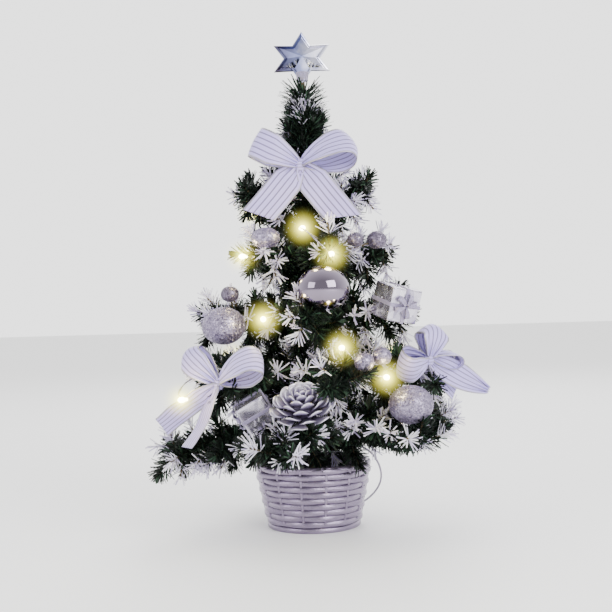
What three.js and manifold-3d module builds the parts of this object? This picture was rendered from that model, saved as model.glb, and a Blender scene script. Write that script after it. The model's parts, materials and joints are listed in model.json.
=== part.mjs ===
// Artificial tabletop tree: bendable branches in tiers on a wrapped wire trunk, set in plaster in a
// basket-weave pot, dressed with balls, berries, bows, gift boxes, a pine cone and a lit string.
// Millimetres, +Z up. The origin is the middle of the pot's base. The front of the tree faces -Y.
import * as THREE from 'three';
import { mergeVertices } from 'three/addons/utils/BufferGeometryUtils.js';
import Module from 'manifold-3d';

const wasm = await Module();
wasm.setup();

// ---- Driving dimensions ----
const GAP = 0.3;                 // between pieces that touch
const TREE_HEIGHT = 450;         // table to the star's top point
const TREE_SPREAD = 131;         // reach of a lowest branch's wire from its hinge
const TOP_REACH = 56;            // reach of a top-tier branch
const BARE_TRUNK = 24;           // between the pot's rim and the lowest hinge
const LEADER_LENGTH = 141;       // from the last tier's place to the star's point
const TIP_DROOP = -14;           // height of a lowest tip above its hinge
const TIP_LIFT = 42;             // the same in the top tier
const LIFT_CURVE = 0.8;          // how soon the tips lift from tier to tier

const POT = { height: 60, rim: 52, waist: 42.4, foot: 45, footHeight: 5, wall: 2.4, floor: 4, lip: 3 };
const PLASTER_DEPTH = 26;        // the plaster's own depth
const TRUNK = { bottom: 5, top: 2.4, seat: 6 };    // radii, and plaster under the trunk's end
const NEEDLE = { radius: 8, wire: 1.3, knuckle: 1.8 }; // needle brush, branch wire, its root knuckle
const TWIG = { radius: 6.2, share: 0.36, angle: 40, lift: 0.12, places: [0.4, 0.7] };
const STAR = { wide: 29, tall: 24, thick: 4, bevel: 2.5, inner: 0.577 };
const SOCKET = { top: 6.3, bottom: 4.6, depth: 6 };
const BALL = { chrome: 45, glitter: 38, squash: 0.86, wall: 1, neck: 3.5 };
const CAP = { radius: 5, height: 6, wire: 0.8 };
const BERRY_WIRE = 0.8;
const RIBBON = { width: 34, thick: 1.2 };
const GIFT = { right: 33, left: 26, band: 5, skin: 0.8 };
const CONE = { radius: 26, height: 34 };
const LIGHT = { wire: 0.8, bulb: 2.5, bulbLength: 7, clear: 1.6 };
const LEAD_RADIUS = 0.9;
const AA = { radius: 7.15, length: 49, nub: 2.7, nubLength: 1.4 };
const CASE = { wall: 1.5, slack: 0.4, bay: 12, behind: 95, contact: 0.5, spring: 4 };
const KNOB = { length: 4, width: 4, height: 3, travel: 3.5 };

// The wires' azimuths in each tier, degrees anticlockwise from +X, the lowest tier first
const TIERS = [
  [195, 258, 315, 15, 105],
  [228, 282, 337, 40, 135],
  [205, 270, 325, 85],
  [232, 290, 350, 120],
  [190, 340],
];

// The lead's centre line, from the trunk over the pot's rim and down behind it to the battery case
const LEAD_POINTS = [
  [-7.6, 3.2, 73], [-8.5, 8, 72.5], [-3, 13, 72], [8, 15, 72], [20, 15.5, 71.8], [32, 15, 71],
  [43, 14, 69], [53, 14, 63.5], [60, 16, 54], [63.5, 19, 43.5], [63, 24.5, 33], [58.5, 32, 23],
  [51, 41, 14], [42, 49, 7], [32, 55.5, 2.8], [21, 60.5, 1.1], [12, 65, 1], [8.6, 70, 1],
  [12.5, 74, 1], [22, 73.5, 1], [33, 70.5, 1], [42, 73, 1.2], [46.8, 80, 2.2], [47.2, 88, 4.4],
  [43.5, 94.5, 7], [39, 96.4, 7.9], [34.9, 96.4, 8],
];

// ---- Worked-out sizes ----
const RAD = Math.PI / 180;
const FIRST_TIER = POT.height + BARE_TRUNK;
const TIER_PITCH = (TREE_HEIGHT - FIRST_TIER - LEADER_LENGTH) / TIERS.length;
const TIER_STEP_IN = (TREE_SPREAD - TOP_REACH) / (TIERS.length - 1);
const TRUNK_FOOT = POT.floor + GAP + TRUNK.seat;
const STAR_CENTRE = TREE_HEIGHT - STAR.tall;
const SOCKET_TOP = STAR_CENTRE - STAR.tall * STAR.inner * Math.cos(30 * RAD) - GAP;
const SOCKET_BOTTOM = SOCKET_TOP - SOCKET.depth - CAP.wire * 2.5;
const TRUNK_TOP = SOCKET_BOTTOM + SOCKET.depth - GAP;

// ---- Materials ----
const paint = (color, roughness, metalness = 0) =>
  new THREE.MeshStandardMaterial({ color, roughness, metalness });
const MATERIAL = {
  pot: paint(0xb9aec6, 0.35, 0.6),
  plaster: paint(0xd8d4cc, 0.9),
  bark: paint(0x4a3b25, 0.8),
  needles: paint(0x22382a, 0.6),
  silver: paint(0xc9c4d6, 0.08, 1),
  clear: paint(0xcfc8d8, 0.25),
  glitter: paint(0xb7adc2, 0.4, 0.7),
  ribbon: paint(0xc9bfe6, 0.6),
  foil: paint(0xc6c0d2, 0.2, 0.9),
  cone: paint(0x9b93a8, 0.45, 0.6),
  wire: paint(0xd9d4e2, 0.4),
  steel: paint(0x9a9a9e, 0.35, 1),
  case: paint(0xe6e4e8, 0.45),
  cell: paint(0x3c4a5c, 0.4, 0.3),
};

// ---- Solids ----
function solid(geometry, matrix = new THREE.Matrix4()) {
  const bare = geometry.clone().applyMatrix4(matrix);
  bare.deleteAttribute('normal');
  bare.deleteAttribute('uv');
  const merged = mergeVertices(bare, 1e-4);
  const index = merged.index.array;
  const triangles = [];
  for (let i = 0; i < index.length; i += 3) {
    const [a, b, c] = [index[i], index[i + 1], index[i + 2]];
    if (a !== b && b !== c && a !== c) triangles.push(a, b, c);
  }
  const vertProperties = Float32Array.from(merged.attributes.position.array);
  const triVerts = Uint32Array.from(triangles);
  return new wasm.Manifold(new wasm.Mesh({ numProp: 3, vertProperties, triVerts }));
}

function geometryOf(body) {
  const mesh = body.getMesh();
  const geometry = new THREE.BufferGeometry();
  geometry.setAttribute('position', new THREE.BufferAttribute(mesh.vertProperties, 3));
  geometry.setIndex(new THREE.BufferAttribute(mesh.triVerts, 1));
  geometry.computeVertexNormals();
  return geometry;
}

const join = (bodies) => bodies.reduce((whole, body) => whole.add(body));
const vec = (x, y, z) => new THREE.Vector3(x, y, z);
const at = (x, y, z) => new THREE.Matrix4().makeTranslation(x, y, z);

// A profile of [radius, height] points turned about Z
function turned(profile, segments = 32) {
  const points = profile.map(([r, z]) => new THREE.Vector2(r, z));
  return new THREE.LatheGeometry(points, segments).rotateX(Math.PI / 2);
}

// The move that takes +Z to the direction from one point to another, at the first point
function aimed(from, to) {
  const turn = new THREE.Quaternion().setFromUnitVectors(vec(0, 0, 1), to.clone().sub(from).normalize());
  return new THREE.Matrix4().compose(from, turn, vec(1, 1, 1));
}

// A needle brush: fat in its middle, pointed at both ends
function brush(from, to, radius) {
  const long = from.distanceTo(to);
  const profile = [[0, 0], [radius, long * 0.3], [radius * 0.85, long * 0.78], [0, long]];
  return solid(turned(profile, 5), aimed(from, to));
}

// A round rod from one point to another
function rod(from, to, radius, sides = 8) {
  const long = from.distanceTo(to);
  return solid(turned([[0, 0], [radius, 0], [radius, long], [0, long]], sides), aimed(from, to));
}

// A round wire along a curve
function wire(curve, radius, steps, sides = 8) {
  const section = new THREE.Shape();
  for (let i = 0; i < sides; i += 1) {
    const angle = i * 2 * Math.PI / sides;
    const corner = [radius * Math.cos(angle), radius * Math.sin(angle)];
    if (i === 0) section.moveTo(...corner);
    else section.lineTo(...corner);
  }
  return new THREE.ExtrudeGeometry(section, { extrudePath: curve, steps, bevelEnabled: false });
}

function ball(radius, across = 16, down = 8) {
  return new THREE.SphereGeometry(radius, across, down).rotateX(Math.PI / 2);
}

const tree = new THREE.Group();

function piece(name, geometry, material, group = tree) {
  const mesh = new THREE.Mesh(geometry, material);
  mesh.name = name;
  group.add(mesh);
  return mesh;
}

// ---- Pot, plaster and trunk ----
const wallTop = POT.height - POT.lip;
const innerRim = POT.rim - POT.lip - POT.wall;
const innerWaist = POT.waist - POT.wall;
const innerAt = (z) => innerWaist + (innerRim - innerWaist) * (z - POT.floor) / (POT.height - POT.floor);
const trunkAt = (z) => TRUNK.bottom + (TRUNK.top - TRUNK.bottom) * (z - TRUNK_FOOT) / (TRUNK_TOP - TRUNK_FOOT);

piece('pot', turned([
  [0, 0], [POT.foot, 0], [POT.foot, POT.footHeight], [POT.waist, POT.footHeight + 1.5],
  [POT.rim - POT.lip, wallTop - POT.lip], [POT.rim, wallTop - POT.lip / 2], [POT.rim, POT.height - 1],
  [POT.rim - 1, POT.height], [innerRim, POT.height], [innerWaist, POT.floor], [0, POT.floor],
], 32), MATERIAL.pot);

const plasterFoot = POT.floor + GAP;
const plasterTop = plasterFoot + PLASTER_DEPTH;
piece('plaster_fill', turned([
  [0, plasterFoot], [innerAt(plasterFoot) - GAP, plasterFoot], [innerAt(plasterTop) - GAP, plasterTop],
  [TRUNK.bottom + GAP, plasterTop], [TRUNK.bottom + GAP, TRUNK_FOOT - GAP], [0, TRUNK_FOOT - GAP],
], 30), MATERIAL.plaster);

piece('trunk', turned([
  [0, TRUNK_FOOT], [TRUNK.bottom, TRUNK_FOOT], [TRUNK.top, TRUNK_TOP], [0, TRUNK_TOP],
], 16), MATERIAL.bark);

// ---- Leader: the upright top tuft ----
const LEADER = { sunk: 9, sleeve: 8.5, rings: 3, ring: 4, twig: 26, rise: 50, radius: 5 };
const leaderFoot = TREE_HEIGHT - LEADER_LENGTH - LEADER.sunk;
const leaderTop = SOCKET_BOTTOM - 2;
const leaderBore = trunkAt(leaderFoot) + GAP;
const leaderParts = [solid(turned([
  [leaderBore, leaderFoot], [LEADER.sleeve * 0.7, leaderFoot], [LEADER.sleeve, leaderFoot + 12],
  [LEADER.sleeve, leaderTop - 20], [leaderBore + 1.5, leaderTop], [leaderBore, leaderTop],
  [leaderBore, leaderFoot],
], 12))];
for (let row = 0; row < LEADER.rings; row += 1) {
  const z = leaderFoot + 14 + row * (leaderTop - leaderFoot - 36) / (LEADER.rings - 1);
  for (let k = 0; k < LEADER.ring; k += 1) {
    const angle = (45 + 90 * k + 45 * (row % 2)) * RAD;
    const out = vec(Math.cos(angle), Math.sin(angle), 0);
    const root = out.clone().multiplyScalar(leaderBore + 1).setZ(z);
    const tip = root.clone()
      .addScaledVector(out, LEADER.twig * Math.cos(LEADER.rise * RAD))
      .add(vec(0, 0, LEADER.twig * Math.sin(LEADER.rise * RAD)));
    leaderParts.push(brush(root, tip, LEADER.radius));
  }
}
const leaderHole = solid(turned([
  [0, leaderFoot - 20], [leaderBore, leaderFoot - 20], [leaderBore, leaderTop + 20], [0, leaderTop + 20],
], 12));
piece('leader', geometryOf(join(leaderParts).subtract(leaderHole)), MATERIAL.needles);

// ---- Star and its socket ----
const starOutline = new THREE.Shape();
for (let i = 0; i < 12; i += 1) {
  const angle = (90 + 30 * i) * RAD;
  const share = i % 2 === 0 ? 1 : STAR.inner;
  const [halfWide, halfTall] = [(STAR.wide - STAR.bevel) * share, (STAR.tall - STAR.bevel) * share];
  const point = [halfWide * Math.cos(angle), halfTall * Math.sin(angle)];
  if (i === 0) starOutline.moveTo(...point);
  else if (i !== 6) starOutline.lineTo(...point);
}
const starPlate = new THREE.ExtrudeGeometry(starOutline, {
  depth: STAR.thick, bevelThickness: STAR.bevel, bevelSize: STAR.bevel / 2, bevelSegments: 1,
}).translate(0, 0, -STAR.thick / 2).rotateX(Math.PI / 2);
piece('star_topper', starPlate, MATERIAL.silver).position.z = STAR_CENTRE + STAR.bevel / 2;

const boreRadius = TRUNK.top + GAP;
const socketRoof = TRUNK_TOP + GAP;
piece('star_socket', turned([
  [0, socketRoof], [boreRadius, socketRoof], [boreRadius, SOCKET_BOTTOM], [SOCKET.bottom, SOCKET_BOTTOM],
  [SOCKET.top, SOCKET_TOP], [0, SOCKET_TOP],
], 20), MATERIAL.clear);

// ---- Branches ----
// Each branch is a group at its hinge, turned so that +X runs outwards along the wire.
const stems = {};
const branches = {};

function stemCurve(tier) {
  const reach = TREE_SPREAD - tier * TIER_STEP_IN;
  const tip = TIP_DROOP + (TIP_LIFT - TIP_DROOP) * (tier / (TIERS.length - 1)) ** LIFT_CURVE;
  return new THREE.QuadraticBezierCurve3(vec(0, 0, 0), vec(reach * 0.5, 0, tip / 2 + 12), vec(reach, 0, tip));
}

function branchSolid(curve) {
  const reach = curve.v2.x;
  const p = (t) => curve.getPoint(t);
  const parts = [
    solid(new THREE.SphereGeometry(NEEDLE.knuckle, 6, 4)),
    rod(p(0), p(0.25), NEEDLE.wire, 6),
    brush(p(0.2), p(1), NEEDLE.radius),
  ];
  for (const place of TWIG.places) {
    for (const side of [-1, 1]) {
      const long = reach * TWIG.share * (1.25 - place);
      const tip = p(place).add(vec(
        long * Math.cos(TWIG.angle * RAD), side * long * Math.sin(TWIG.angle * RAD), long * TWIG.lift));
      parts.push(brush(p(place), tip, TWIG.radius));
    }
  }
  return join(parts);
}

TIERS.forEach((azimuths, tier) => {
  const height = FIRST_TIER + tier * TIER_PITCH;
  azimuths.forEach((azimuth, k) => {
    const name = `branch_${tier + 1}${'abcde'[k]}`;
    const group = new THREE.Group();
    const hingeRadius = trunkAt(height) + NEEDLE.knuckle + GAP;
    group.position.set(hingeRadius * Math.cos(azimuth * RAD), hingeRadius * Math.sin(azimuth * RAD), height);
    group.rotation.z = azimuth * RAD;
    tree.add(group);
    branches[name] = group;
    stems[name] = stemCurve(tier);
  });
});

// What a branch carries presses its needles aside: the brush is cut back from it by the gap.
const pressed = Object.fromEntries(Object.keys(branches).map((name) => [name, []]));

// A place that a branch carries something at: out past its wire's tip, to its left and above its hinge
const onBranch = (branch, [out, left, up]) => vec(stems[branch].v2.x + out, left, up);

// The point on a branch's needles, at share t of its wire, that faces a place it carries
function gripPoint(branch, t, place) {
  const stem = stems[branch].getPoint(t);
  return stem.clone().addScaledVector(place.clone().sub(stem).normalize(), NEEDLE.radius * 0.5);
}

function carry(name, branch, body, material) {
  piece(name, geometryOf(body), material, branches[branch]);
}

// ---- Balls, each with a cap and hanging wire ----
function hungBall(name, branch, diameter, place, t, material) {
  const centre = onBranch(branch, place);
  const squash = new THREE.Matrix4().makeScale(1, 1, BALL.squash).setPosition(centre);
  const squashed = (radius) => solid(ball(radius), squash);
  const grip = gripPoint(branch, t, centre);
  const away = grip.clone().sub(centre).normalize();
  const rest = centre.clone().addScaledVector(away, diameter * 0.4);
  const capTop = centre.clone().addScaledVector(away, diameter / 2 + CAP.height * 0.6);
  const cap = join([rod(rest, capTop, CAP.radius, 12), rod(rest, grip, CAP.wire, 6)]);
  const shell = squashed(diameter / 2)
    .subtract(squashed(diameter / 2 - BALL.wall))
    .subtract(rod(centre, capTop, BALL.neck, 8));
  carry(name, branch, shell, material);
  const clearBall = squashed(diameter / 2 + GAP);
  carry(`${name}_cap`, branch, cap.subtract(clearBall), MATERIAL.silver);
  pressed[branch].push(clearBall, rod(rest, capTop, CAP.radius + GAP, 12), rod(rest, grip, CAP.wire + GAP, 6));
}

hungBall('chrome_ball', 'branch_3b', BALL.chrome, [-12.5, 12, 40], 0.72, MATERIAL.silver);
hungBall('glitter_ball_left', 'branch_3a', BALL.glitter, [-5.5, 29, 11], 0.72, MATERIAL.glitter);
hungBall('glitter_ball_right', 'branch_1c', BALL.glitter, [-15, -6, 32], 0.74, MATERIAL.glitter);

// ---- Berries on wire picks ----
function berryPick(name, branch, berries, t) {
  const places = berries.map(({ place }) => onBranch(branch, place));
  const middle = places.reduce((sum, place) => sum.add(place), vec(0, 0, 0)).divideScalar(places.length);
  const grip = gripPoint(branch, t, middle);
  const parts = berries.map(({ width, height }, k) =>
    solid(ball(width / 2, 10, 6), new THREE.Matrix4().makeScale(1, 1, height / width).setPosition(places[k])));
  for (const place of places) parts.push(rod(grip, place, BERRY_WIRE, 6));
  const body = join(parts);
  carry(name, branch, body, MATERIAL.glitter);
  pressed[branch].push(...places.map((place) => rod(grip, place, BERRY_WIRE + GAP, 6)));
  const knot = solid(new THREE.SphereGeometry(BERRY_WIRE + 2 * GAP, 6, 4), at(grip.x, grip.y, grip.z));
  pressed[branch].push(knot);
}

berryPick('berry_pick_1', 'branch_4a', [{ place: [-6.75, 13, 40], width: 25, height: 18 }], 0.8);
berryPick('berry_pick_2', 'branch_3a', [{ place: [-13.5, 25, 38], width: 16, height: 14 }], 0.7);
berryPick('berry_pick_3', 'branch_4b', [
  { place: [-10.75, 19, 37], width: 15, height: 13 },
  { place: [-17.75, 42, 37], width: 18, height: 16 },
], 0.75);
berryPick('berry_pick_4', 'branch_2b', [
  { place: [-6.25, 21, 24], width: 17, height: 16 },
  { place: [-11.25, 37.4, 28], width: 16, height: 15 },
], 0.8);
berryPick('berry_pick_5', 'branch_2c', [{ place: [6.75, 12, 22], width: 16, height: 15 }], 0.85);

// ---- Pine cone: a stepped dome of scale rows, its axis along its own +Z ----
function coneProfile() {
  const rows = 5;
  const profile = [[0, 0]];
  for (let i = 0; i < rows; i += 1) {
    const share = i / rows;
    const radius = CONE.radius * Math.cos(share * 75 * RAD);
    profile.push([radius * 0.82, CONE.height * share + 1], [radius, CONE.height * (share + 0.13)]);
  }
  return [...profile, [0, CONE.height]];
}

const CONE_PLACE = vec(106, 14, 20);   // along its branch's wire from the hinge, to its left and above it
const CONE_TILT = 38 * RAD;
{
  const set = new THREE.Matrix4().makeRotationY(CONE_TILT).setPosition(CONE_PLACE);
  const body = solid(turned(coneProfile(), 16), set);
  carry('pine_cone', 'branch_1b', body, MATERIAL.cone);
  const clearCone = turned(coneProfile(), 16).scale(1.03, 1.03, 1.03).translate(0, 0, -GAP * 1.5);
  pressed.branch_1b.push(solid(clearCone, set));
}

// ---- Ribbon bows ----
// In a bow's own frame +X is to its wearer's right, -Y outwards and +Z up. A loop or a tail starts at
// the knot and runs at an angle in degrees from +X.
function ribbonLoop(length, depth, angle, width) {
  const outline = (inset) => {
    const shape = new THREE.Shape();
    shape.moveTo(inset * 3, 0);
    shape.bezierCurveTo(length * 0.35, -depth / 2 + inset, length * 0.8, -depth * 0.8 + inset, length - inset, 0);
    shape.bezierCurveTo(length * 0.8, depth * 0.8 - inset, length * 0.35, depth / 2 - inset, inset * 3, 0);
    return shape;
  };
  const band = outline(0);
  band.holes.push(outline(RIBBON.thick));
  const loop = new THREE.ExtrudeGeometry(band, { depth: width, bevelEnabled: false, curveSegments: 3 });
  return solid(loop, new THREE.Matrix4().makeRotationY(-angle * RAD).multiply(at(1, 0, -width / 2)));
}

function ribbonTail(length, drop, angle, width) {
  const strip = new THREE.Shape();
  const half = RIBBON.thick / 2;
  strip.moveTo(0, -half);
  strip.quadraticCurveTo(length * 0.5, -drop * 0.2 - half, length, -drop - half);
  strip.lineTo(length, -drop + half);
  strip.quadraticCurveTo(length * 0.5, -drop * 0.2 + half, 0, half);
  const tail = new THREE.ExtrudeGeometry(strip, { depth: width, bevelEnabled: false, curveSegments: 3 });
  return solid(tail, new THREE.Matrix4().makeRotationY(-angle * RAD).multiply(at(0, 0, -width / 2)));
}

const BOW = { knot: 6, tieWire: 1, tieLength: 11 };

function bow({ name, group, branch, place, yaw, tilt = 0, loops, tails, tieLength = BOW.tieLength }) {
  const set = new THREE.Matrix4().makeRotationFromEuler(new THREE.Euler(tilt * RAD, 0, yaw * RAD, 'ZXY'))
    .setPosition(branch ? onBranch(branch, place) : vec(...place));
  const knot = solid(ball(BOW.knot, 8, 6), new THREE.Matrix4().makeScale(1, 0.8, 1.2));
  const ribbon = join([
    knot,
    ...loops.map(([length, depth, angle, width]) => ribbonLoop(length, depth, angle, width)),
    ...tails.map(([length, drop, angle, width]) => ribbonTail(length, drop, angle, width)),
  ]);
  const tieFrom = vec(0, BOW.knot * 0.8 + GAP, 0);
  const tie = rod(tieFrom, tieFrom.clone().setY(tieFrom.y + tieLength), BOW.tieWire, 8);
  const clearTie = rod(tieFrom, tieFrom.clone().setY(tieFrom.y + tieLength + GAP), BOW.tieWire + GAP, 8);
  const home = branch ? branches[branch] : group;
  piece(`${name}_ribbon`, geometryOf(ribbon.subtract(clearTie).transform(set.elements)), MATERIAL.ribbon, home);
  piece(`${name}_tie`, geometryOf(tie.transform(set.elements)), MATERIAL.steel, home);
  if (branch) pressed[branch].push(clearTie.transform(set.elements));
}

const bowHeight = SOCKET_BOTTOM - 81;
bow({
  name: 'top_bow', group: tree, place: [-4, -36, bowHeight], yaw: 0, tieLength: 16,
  loops: [[48, 16, 150, RIBBON.width], [50, 16, 15, RIBBON.width]],
  tails: [[54, 10, 230, RIBBON.width], [60, 10, 311, RIBBON.width]],
});
bow({
  name: 'left_bow', branch: 'branch_2a', place: [1.75, 6, 9], yaw: 112,
  loops: [[42, 15, 158, 27], [42, 15, 4, 28]],
  tails: [[58, 3, 206, 28], [56, 6, 250, 28]],
});
bow({
  name: 'right_bow', branch: 'branch_2c', place: [-0.25, -20, 23], yaw: 52,
  loops: [[31, 14, 178, 26], [30, 14, 46, 24]],
  tails: [[58, 4, 332, 28], [34, 3, 296, 24]],
});

// ---- Gift boxes, each with a crossed ribbon band ----
function gift(name, branch, size, place, turn) {
  const set = new THREE.Matrix4()
    .makeRotationFromEuler(new THREE.Euler(...turn.map((angle) => angle * RAD), 'ZXY'))
    .setPosition(onBranch(branch, place));
  const block = (x, y, z) => solid(new THREE.BoxGeometry(x, y, z));
  const outer = size + 2 * (GIFT.skin + GAP);
  const inner = size + 2 * GAP;
  const bands = join([block(GIFT.band, outer, outer), block(outer, outer, GIFT.band)])
    .subtract(block(inner, inner, inner));
  carry(name, branch, block(size, size, size).transform(set.elements), MATERIAL.foil);
  carry(`${name}_ribbon`, branch, bands.transform(set.elements), MATERIAL.ribbon);
  pressed[branch].push(block(outer + GAP, outer + GAP, outer + GAP).transform(set.elements));
}

gift('gift_box_right', 'branch_3c', GIFT.right, [-1.5, -10, 26], [14, 8, 62]);
gift('gift_box_left', 'branch_2a', GIFT.left, [-26.25, 19, -15], [30, 20, 40]);

// ---- Light string: a riser up the trunk and a loop of wire with bulbs along some branches ----
const RISER = { azimuth: 160, from: FIRST_TIER - 10, to: FIRST_TIER + 4.6 * TIER_PITCH };
{
  const points = [];
  for (let i = 0; i <= 8; i += 1) {
    const z = RISER.from + (RISER.to - RISER.from) * i / 8;
    const out = TRUNK.bottom + LIGHT.wire + GAP;
    const angle = (RISER.azimuth + (i % 2 ? 4 : -4)) * RAD;
    points.push(vec(out * Math.cos(angle), out * Math.sin(angle), z));
  }
  const curve = new THREE.CatmullRomCurve3(points);
  piece('light_string_riser', geometryOf(solid(wire(curve, LIGHT.wire, 16, 5))), MATERIAL.wire);
}

// The wire follows the branch's top, then the points of its path; a bulb sits at each point in bulbs.
function lightLoop(name, branch, path, bulbs = [path.length - 1]) {
  const above = NEEDLE.radius + LIGHT.wire + LIGHT.clear;
  const points = [0.14, 0.3, 0.45, 0.58].map((t) => stems[branch].getPoint(t).add(vec(0, 0, above)));
  points[0].z -= above / 2;
  points.push(...path.map((place) => onBranch(branch, place)));
  const curve = new THREE.CatmullRomCurve3(points, false, 'centripetal');
  const parts = [solid(wire(curve, LIGHT.wire, 12, 5))];
  for (const k of bulbs) {
    const from = onBranch(branch, path[k]).add(vec(-1, 0, 0));
    const tip = from.clone().add(vec(LIGHT.bulbLength, 0, 0));
    parts.push(brush(from, tip, LIGHT.bulb));
    pressed[branch].push(rod(from, tip, LIGHT.bulb + GAP, 6));
  }
  carry(name, branch, join(parts), MATERIAL.wire);
}

lightLoop('light_loop_1', 'branch_4b',
  [[-15.75, -28, 47], [-4.75, -27, 43], [2.25, -18, 36], [1.25, -9, 33]], [0, 3]);
lightLoop('light_loop_2', 'branch_3b', [[-9.5, -38, 16]]);
lightLoop('light_loop_3', 'branch_2b', [[-14.25, 4, 36]]);
lightLoop('light_loop_4', 'branch_2a', [[-12.25, -37, 12]]);

// ---- The branches themselves, pressed aside where they carry something ----
for (const [name, group] of Object.entries(branches)) {
  const whole = pressed[name].reduce((body, cut) => body.subtract(cut), branchSolid(stems[name]));
  const largest = whole.decompose().reduce((a, b) => (b.volume() > a.volume() ? b : a));
  piece(name, geometryOf(largest), MATERIAL.needles, group);
}

// ---- Lead and battery case ----
const leadCurve = new THREE.CatmullRomCurve3(LEAD_POINTS.map((p) => vec(...p)), false, 'centripetal');
piece('light_lead', geometryOf(solid(wire(leadCurve, LEAD_RADIUS, 58, 8))), MATERIAL.wire);

const cellPitch = 2 * AA.radius + CASE.slack;
const cellLong = AA.length + AA.nubLength;
const roomLong = cellLong + CASE.contact + CASE.spring + 2 * CASE.slack;
const roomWide = 2 * cellPitch + CASE.slack;
const caseLong = roomLong + CASE.wall + CASE.bay;
const caseWide = roomWide + 2 * CASE.wall;
const roomTop = CASE.wall + 2 * AA.radius + 2 * CASE.slack;
const coverFoot = roomTop + GAP;
const caseTop = coverFoot + CASE.wall;
const leadEnd = LEAD_POINTS[LEAD_POINTS.length - 1][0];
const caseRight = leadEnd - GAP;
const caseLeft = caseRight - caseLong;
const bayLeft = caseRight - CASE.bay;
const roomLeft = caseLeft + CASE.wall;
const box = (x0, x1, y, z0, z1) =>
  solid(new THREE.BoxGeometry(x1 - x0, 2 * y, z1 - z0), at((x0 + x1) / 2, 0, (z0 + z1) / 2));
const knobX = bayLeft + CASE.bay / 2 - KNOB.travel / 2;
const knobSlot = { from: knobX - KNOB.length / 2 - GAP, to: knobX + KNOB.length / 2 + KNOB.travel + GAP };
const knobFoot = caseTop - KNOB.height / 2;

const batteryBox = new THREE.Group();
batteryBox.position.y = CASE.behind;
tree.add(batteryBox);

const caseBody = join([
  box(caseLeft, bayLeft + CASE.wall, caseWide / 2, 0, roomTop),
  box(bayLeft, caseRight, caseWide / 2, 0, caseTop),
]).subtract(box(roomLeft, bayLeft, roomWide / 2, CASE.wall, caseTop + CASE.wall))
  .subtract(box(knobSlot.from, knobSlot.to, KNOB.width / 2 + GAP, knobFoot - GAP, caseTop + CASE.wall));
piece('battery_case', geometryOf(caseBody), MATERIAL.case, batteryBox);
piece('battery_cover', geometryOf(box(caseLeft, bayLeft - GAP, caseWide / 2, coverFoot, caseTop)),
  MATERIAL.case, batteryBox);
piece('battery_switch', geometryOf(box(knobX - KNOB.length / 2, knobX + KNOB.length / 2, KNOB.width / 2,
  knobFoot, knobFoot + KNOB.height)), MATERIAL.steel, batteryBox);
piece('bridge_contact', geometryOf(box(roomLeft + GAP / 2, roomLeft + GAP / 2 + CASE.contact, roomWide / 2 - GAP,
  CASE.wall + GAP, roomTop - 2)), MATERIAL.steel, batteryBox);

for (const side of [-1, 1]) {
  const cell = turned([
    [0, 0], [AA.radius, 0], [AA.radius, AA.length], [AA.nub, AA.length], [AA.nub, cellLong], [0, cellLong],
  ], 20).rotateY(Math.PI / 2).translate(roomLeft + CASE.contact + CASE.slack, 0, 0);
  const mesh = piece(side < 0 ? 'battery_1' : 'battery_2', geometryOf(solid(cell)), MATERIAL.cell, batteryBox);
  mesh.position.set(0, side * cellPitch / 2, CASE.wall + CASE.slack + AA.radius);
}

export default tree;
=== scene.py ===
# %% [markdown]
# # A tabletop Christmas tree, piece by piece
# The tree is a wrapped wire trunk in a basket-weave pot, with twenty bendable branches covered in cut
# plastic needles, a star, three bows, balls, berries, two gift boxes, a pine cone and a string of lights.
# The solid model already knows where every body and hinge is. This lesson loads it as a fixed frame and
# builds the looks around it, so that nothing has to be fitted by eye.

# %% Load the frame
import json
import math
import random

import bmesh
import bpy
from mathutils import Matrix, Vector


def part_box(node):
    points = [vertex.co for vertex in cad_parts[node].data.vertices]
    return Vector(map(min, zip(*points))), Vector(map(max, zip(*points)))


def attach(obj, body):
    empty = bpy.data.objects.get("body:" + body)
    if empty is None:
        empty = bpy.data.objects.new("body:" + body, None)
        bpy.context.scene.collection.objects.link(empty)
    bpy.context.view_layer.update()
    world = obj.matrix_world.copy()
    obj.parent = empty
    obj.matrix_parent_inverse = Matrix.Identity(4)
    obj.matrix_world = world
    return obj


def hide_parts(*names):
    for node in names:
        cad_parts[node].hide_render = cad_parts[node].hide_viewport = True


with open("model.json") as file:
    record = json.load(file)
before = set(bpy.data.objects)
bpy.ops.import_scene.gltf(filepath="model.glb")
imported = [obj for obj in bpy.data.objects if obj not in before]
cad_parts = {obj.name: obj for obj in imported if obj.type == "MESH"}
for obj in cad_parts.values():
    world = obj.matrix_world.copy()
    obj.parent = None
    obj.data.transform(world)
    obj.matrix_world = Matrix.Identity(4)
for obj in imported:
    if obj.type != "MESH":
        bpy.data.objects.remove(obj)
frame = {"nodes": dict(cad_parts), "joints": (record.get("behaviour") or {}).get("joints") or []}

for leftover in ("Cube", "Light", "Camera"):
    if leftover in bpy.data.objects:
        bpy.data.objects.remove(bpy.data.objects[leftover])
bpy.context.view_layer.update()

# %% [markdown]
# ## Camera first
# The view is level, a little below the middle of the tree, and turned a touch so that the tree leans
# to the left. The camera is made before the pieces.

# %% The camera
CAMERA_PLACE = (-0.0023, -0.95, 0.20)
CAMERA_ROLL = math.radians(-1.56)
camera_data = bpy.data.cameras.new("view_camera")
camera_data.lens = 61
camera_data.sensor_width = 36
camera = bpy.data.objects.new("view_camera", camera_data)
camera.location = CAMERA_PLACE
level = Matrix.Rotation(math.radians(90), 3, "X")
camera.rotation_euler = (level @ Matrix.Rotation(CAMERA_ROLL, 3, "Z")).to_euler()
bpy.context.scene.collection.objects.link(camera)
bpy.context.scene.camera = camera
print("camera at", CAMERA_PLACE)

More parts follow.
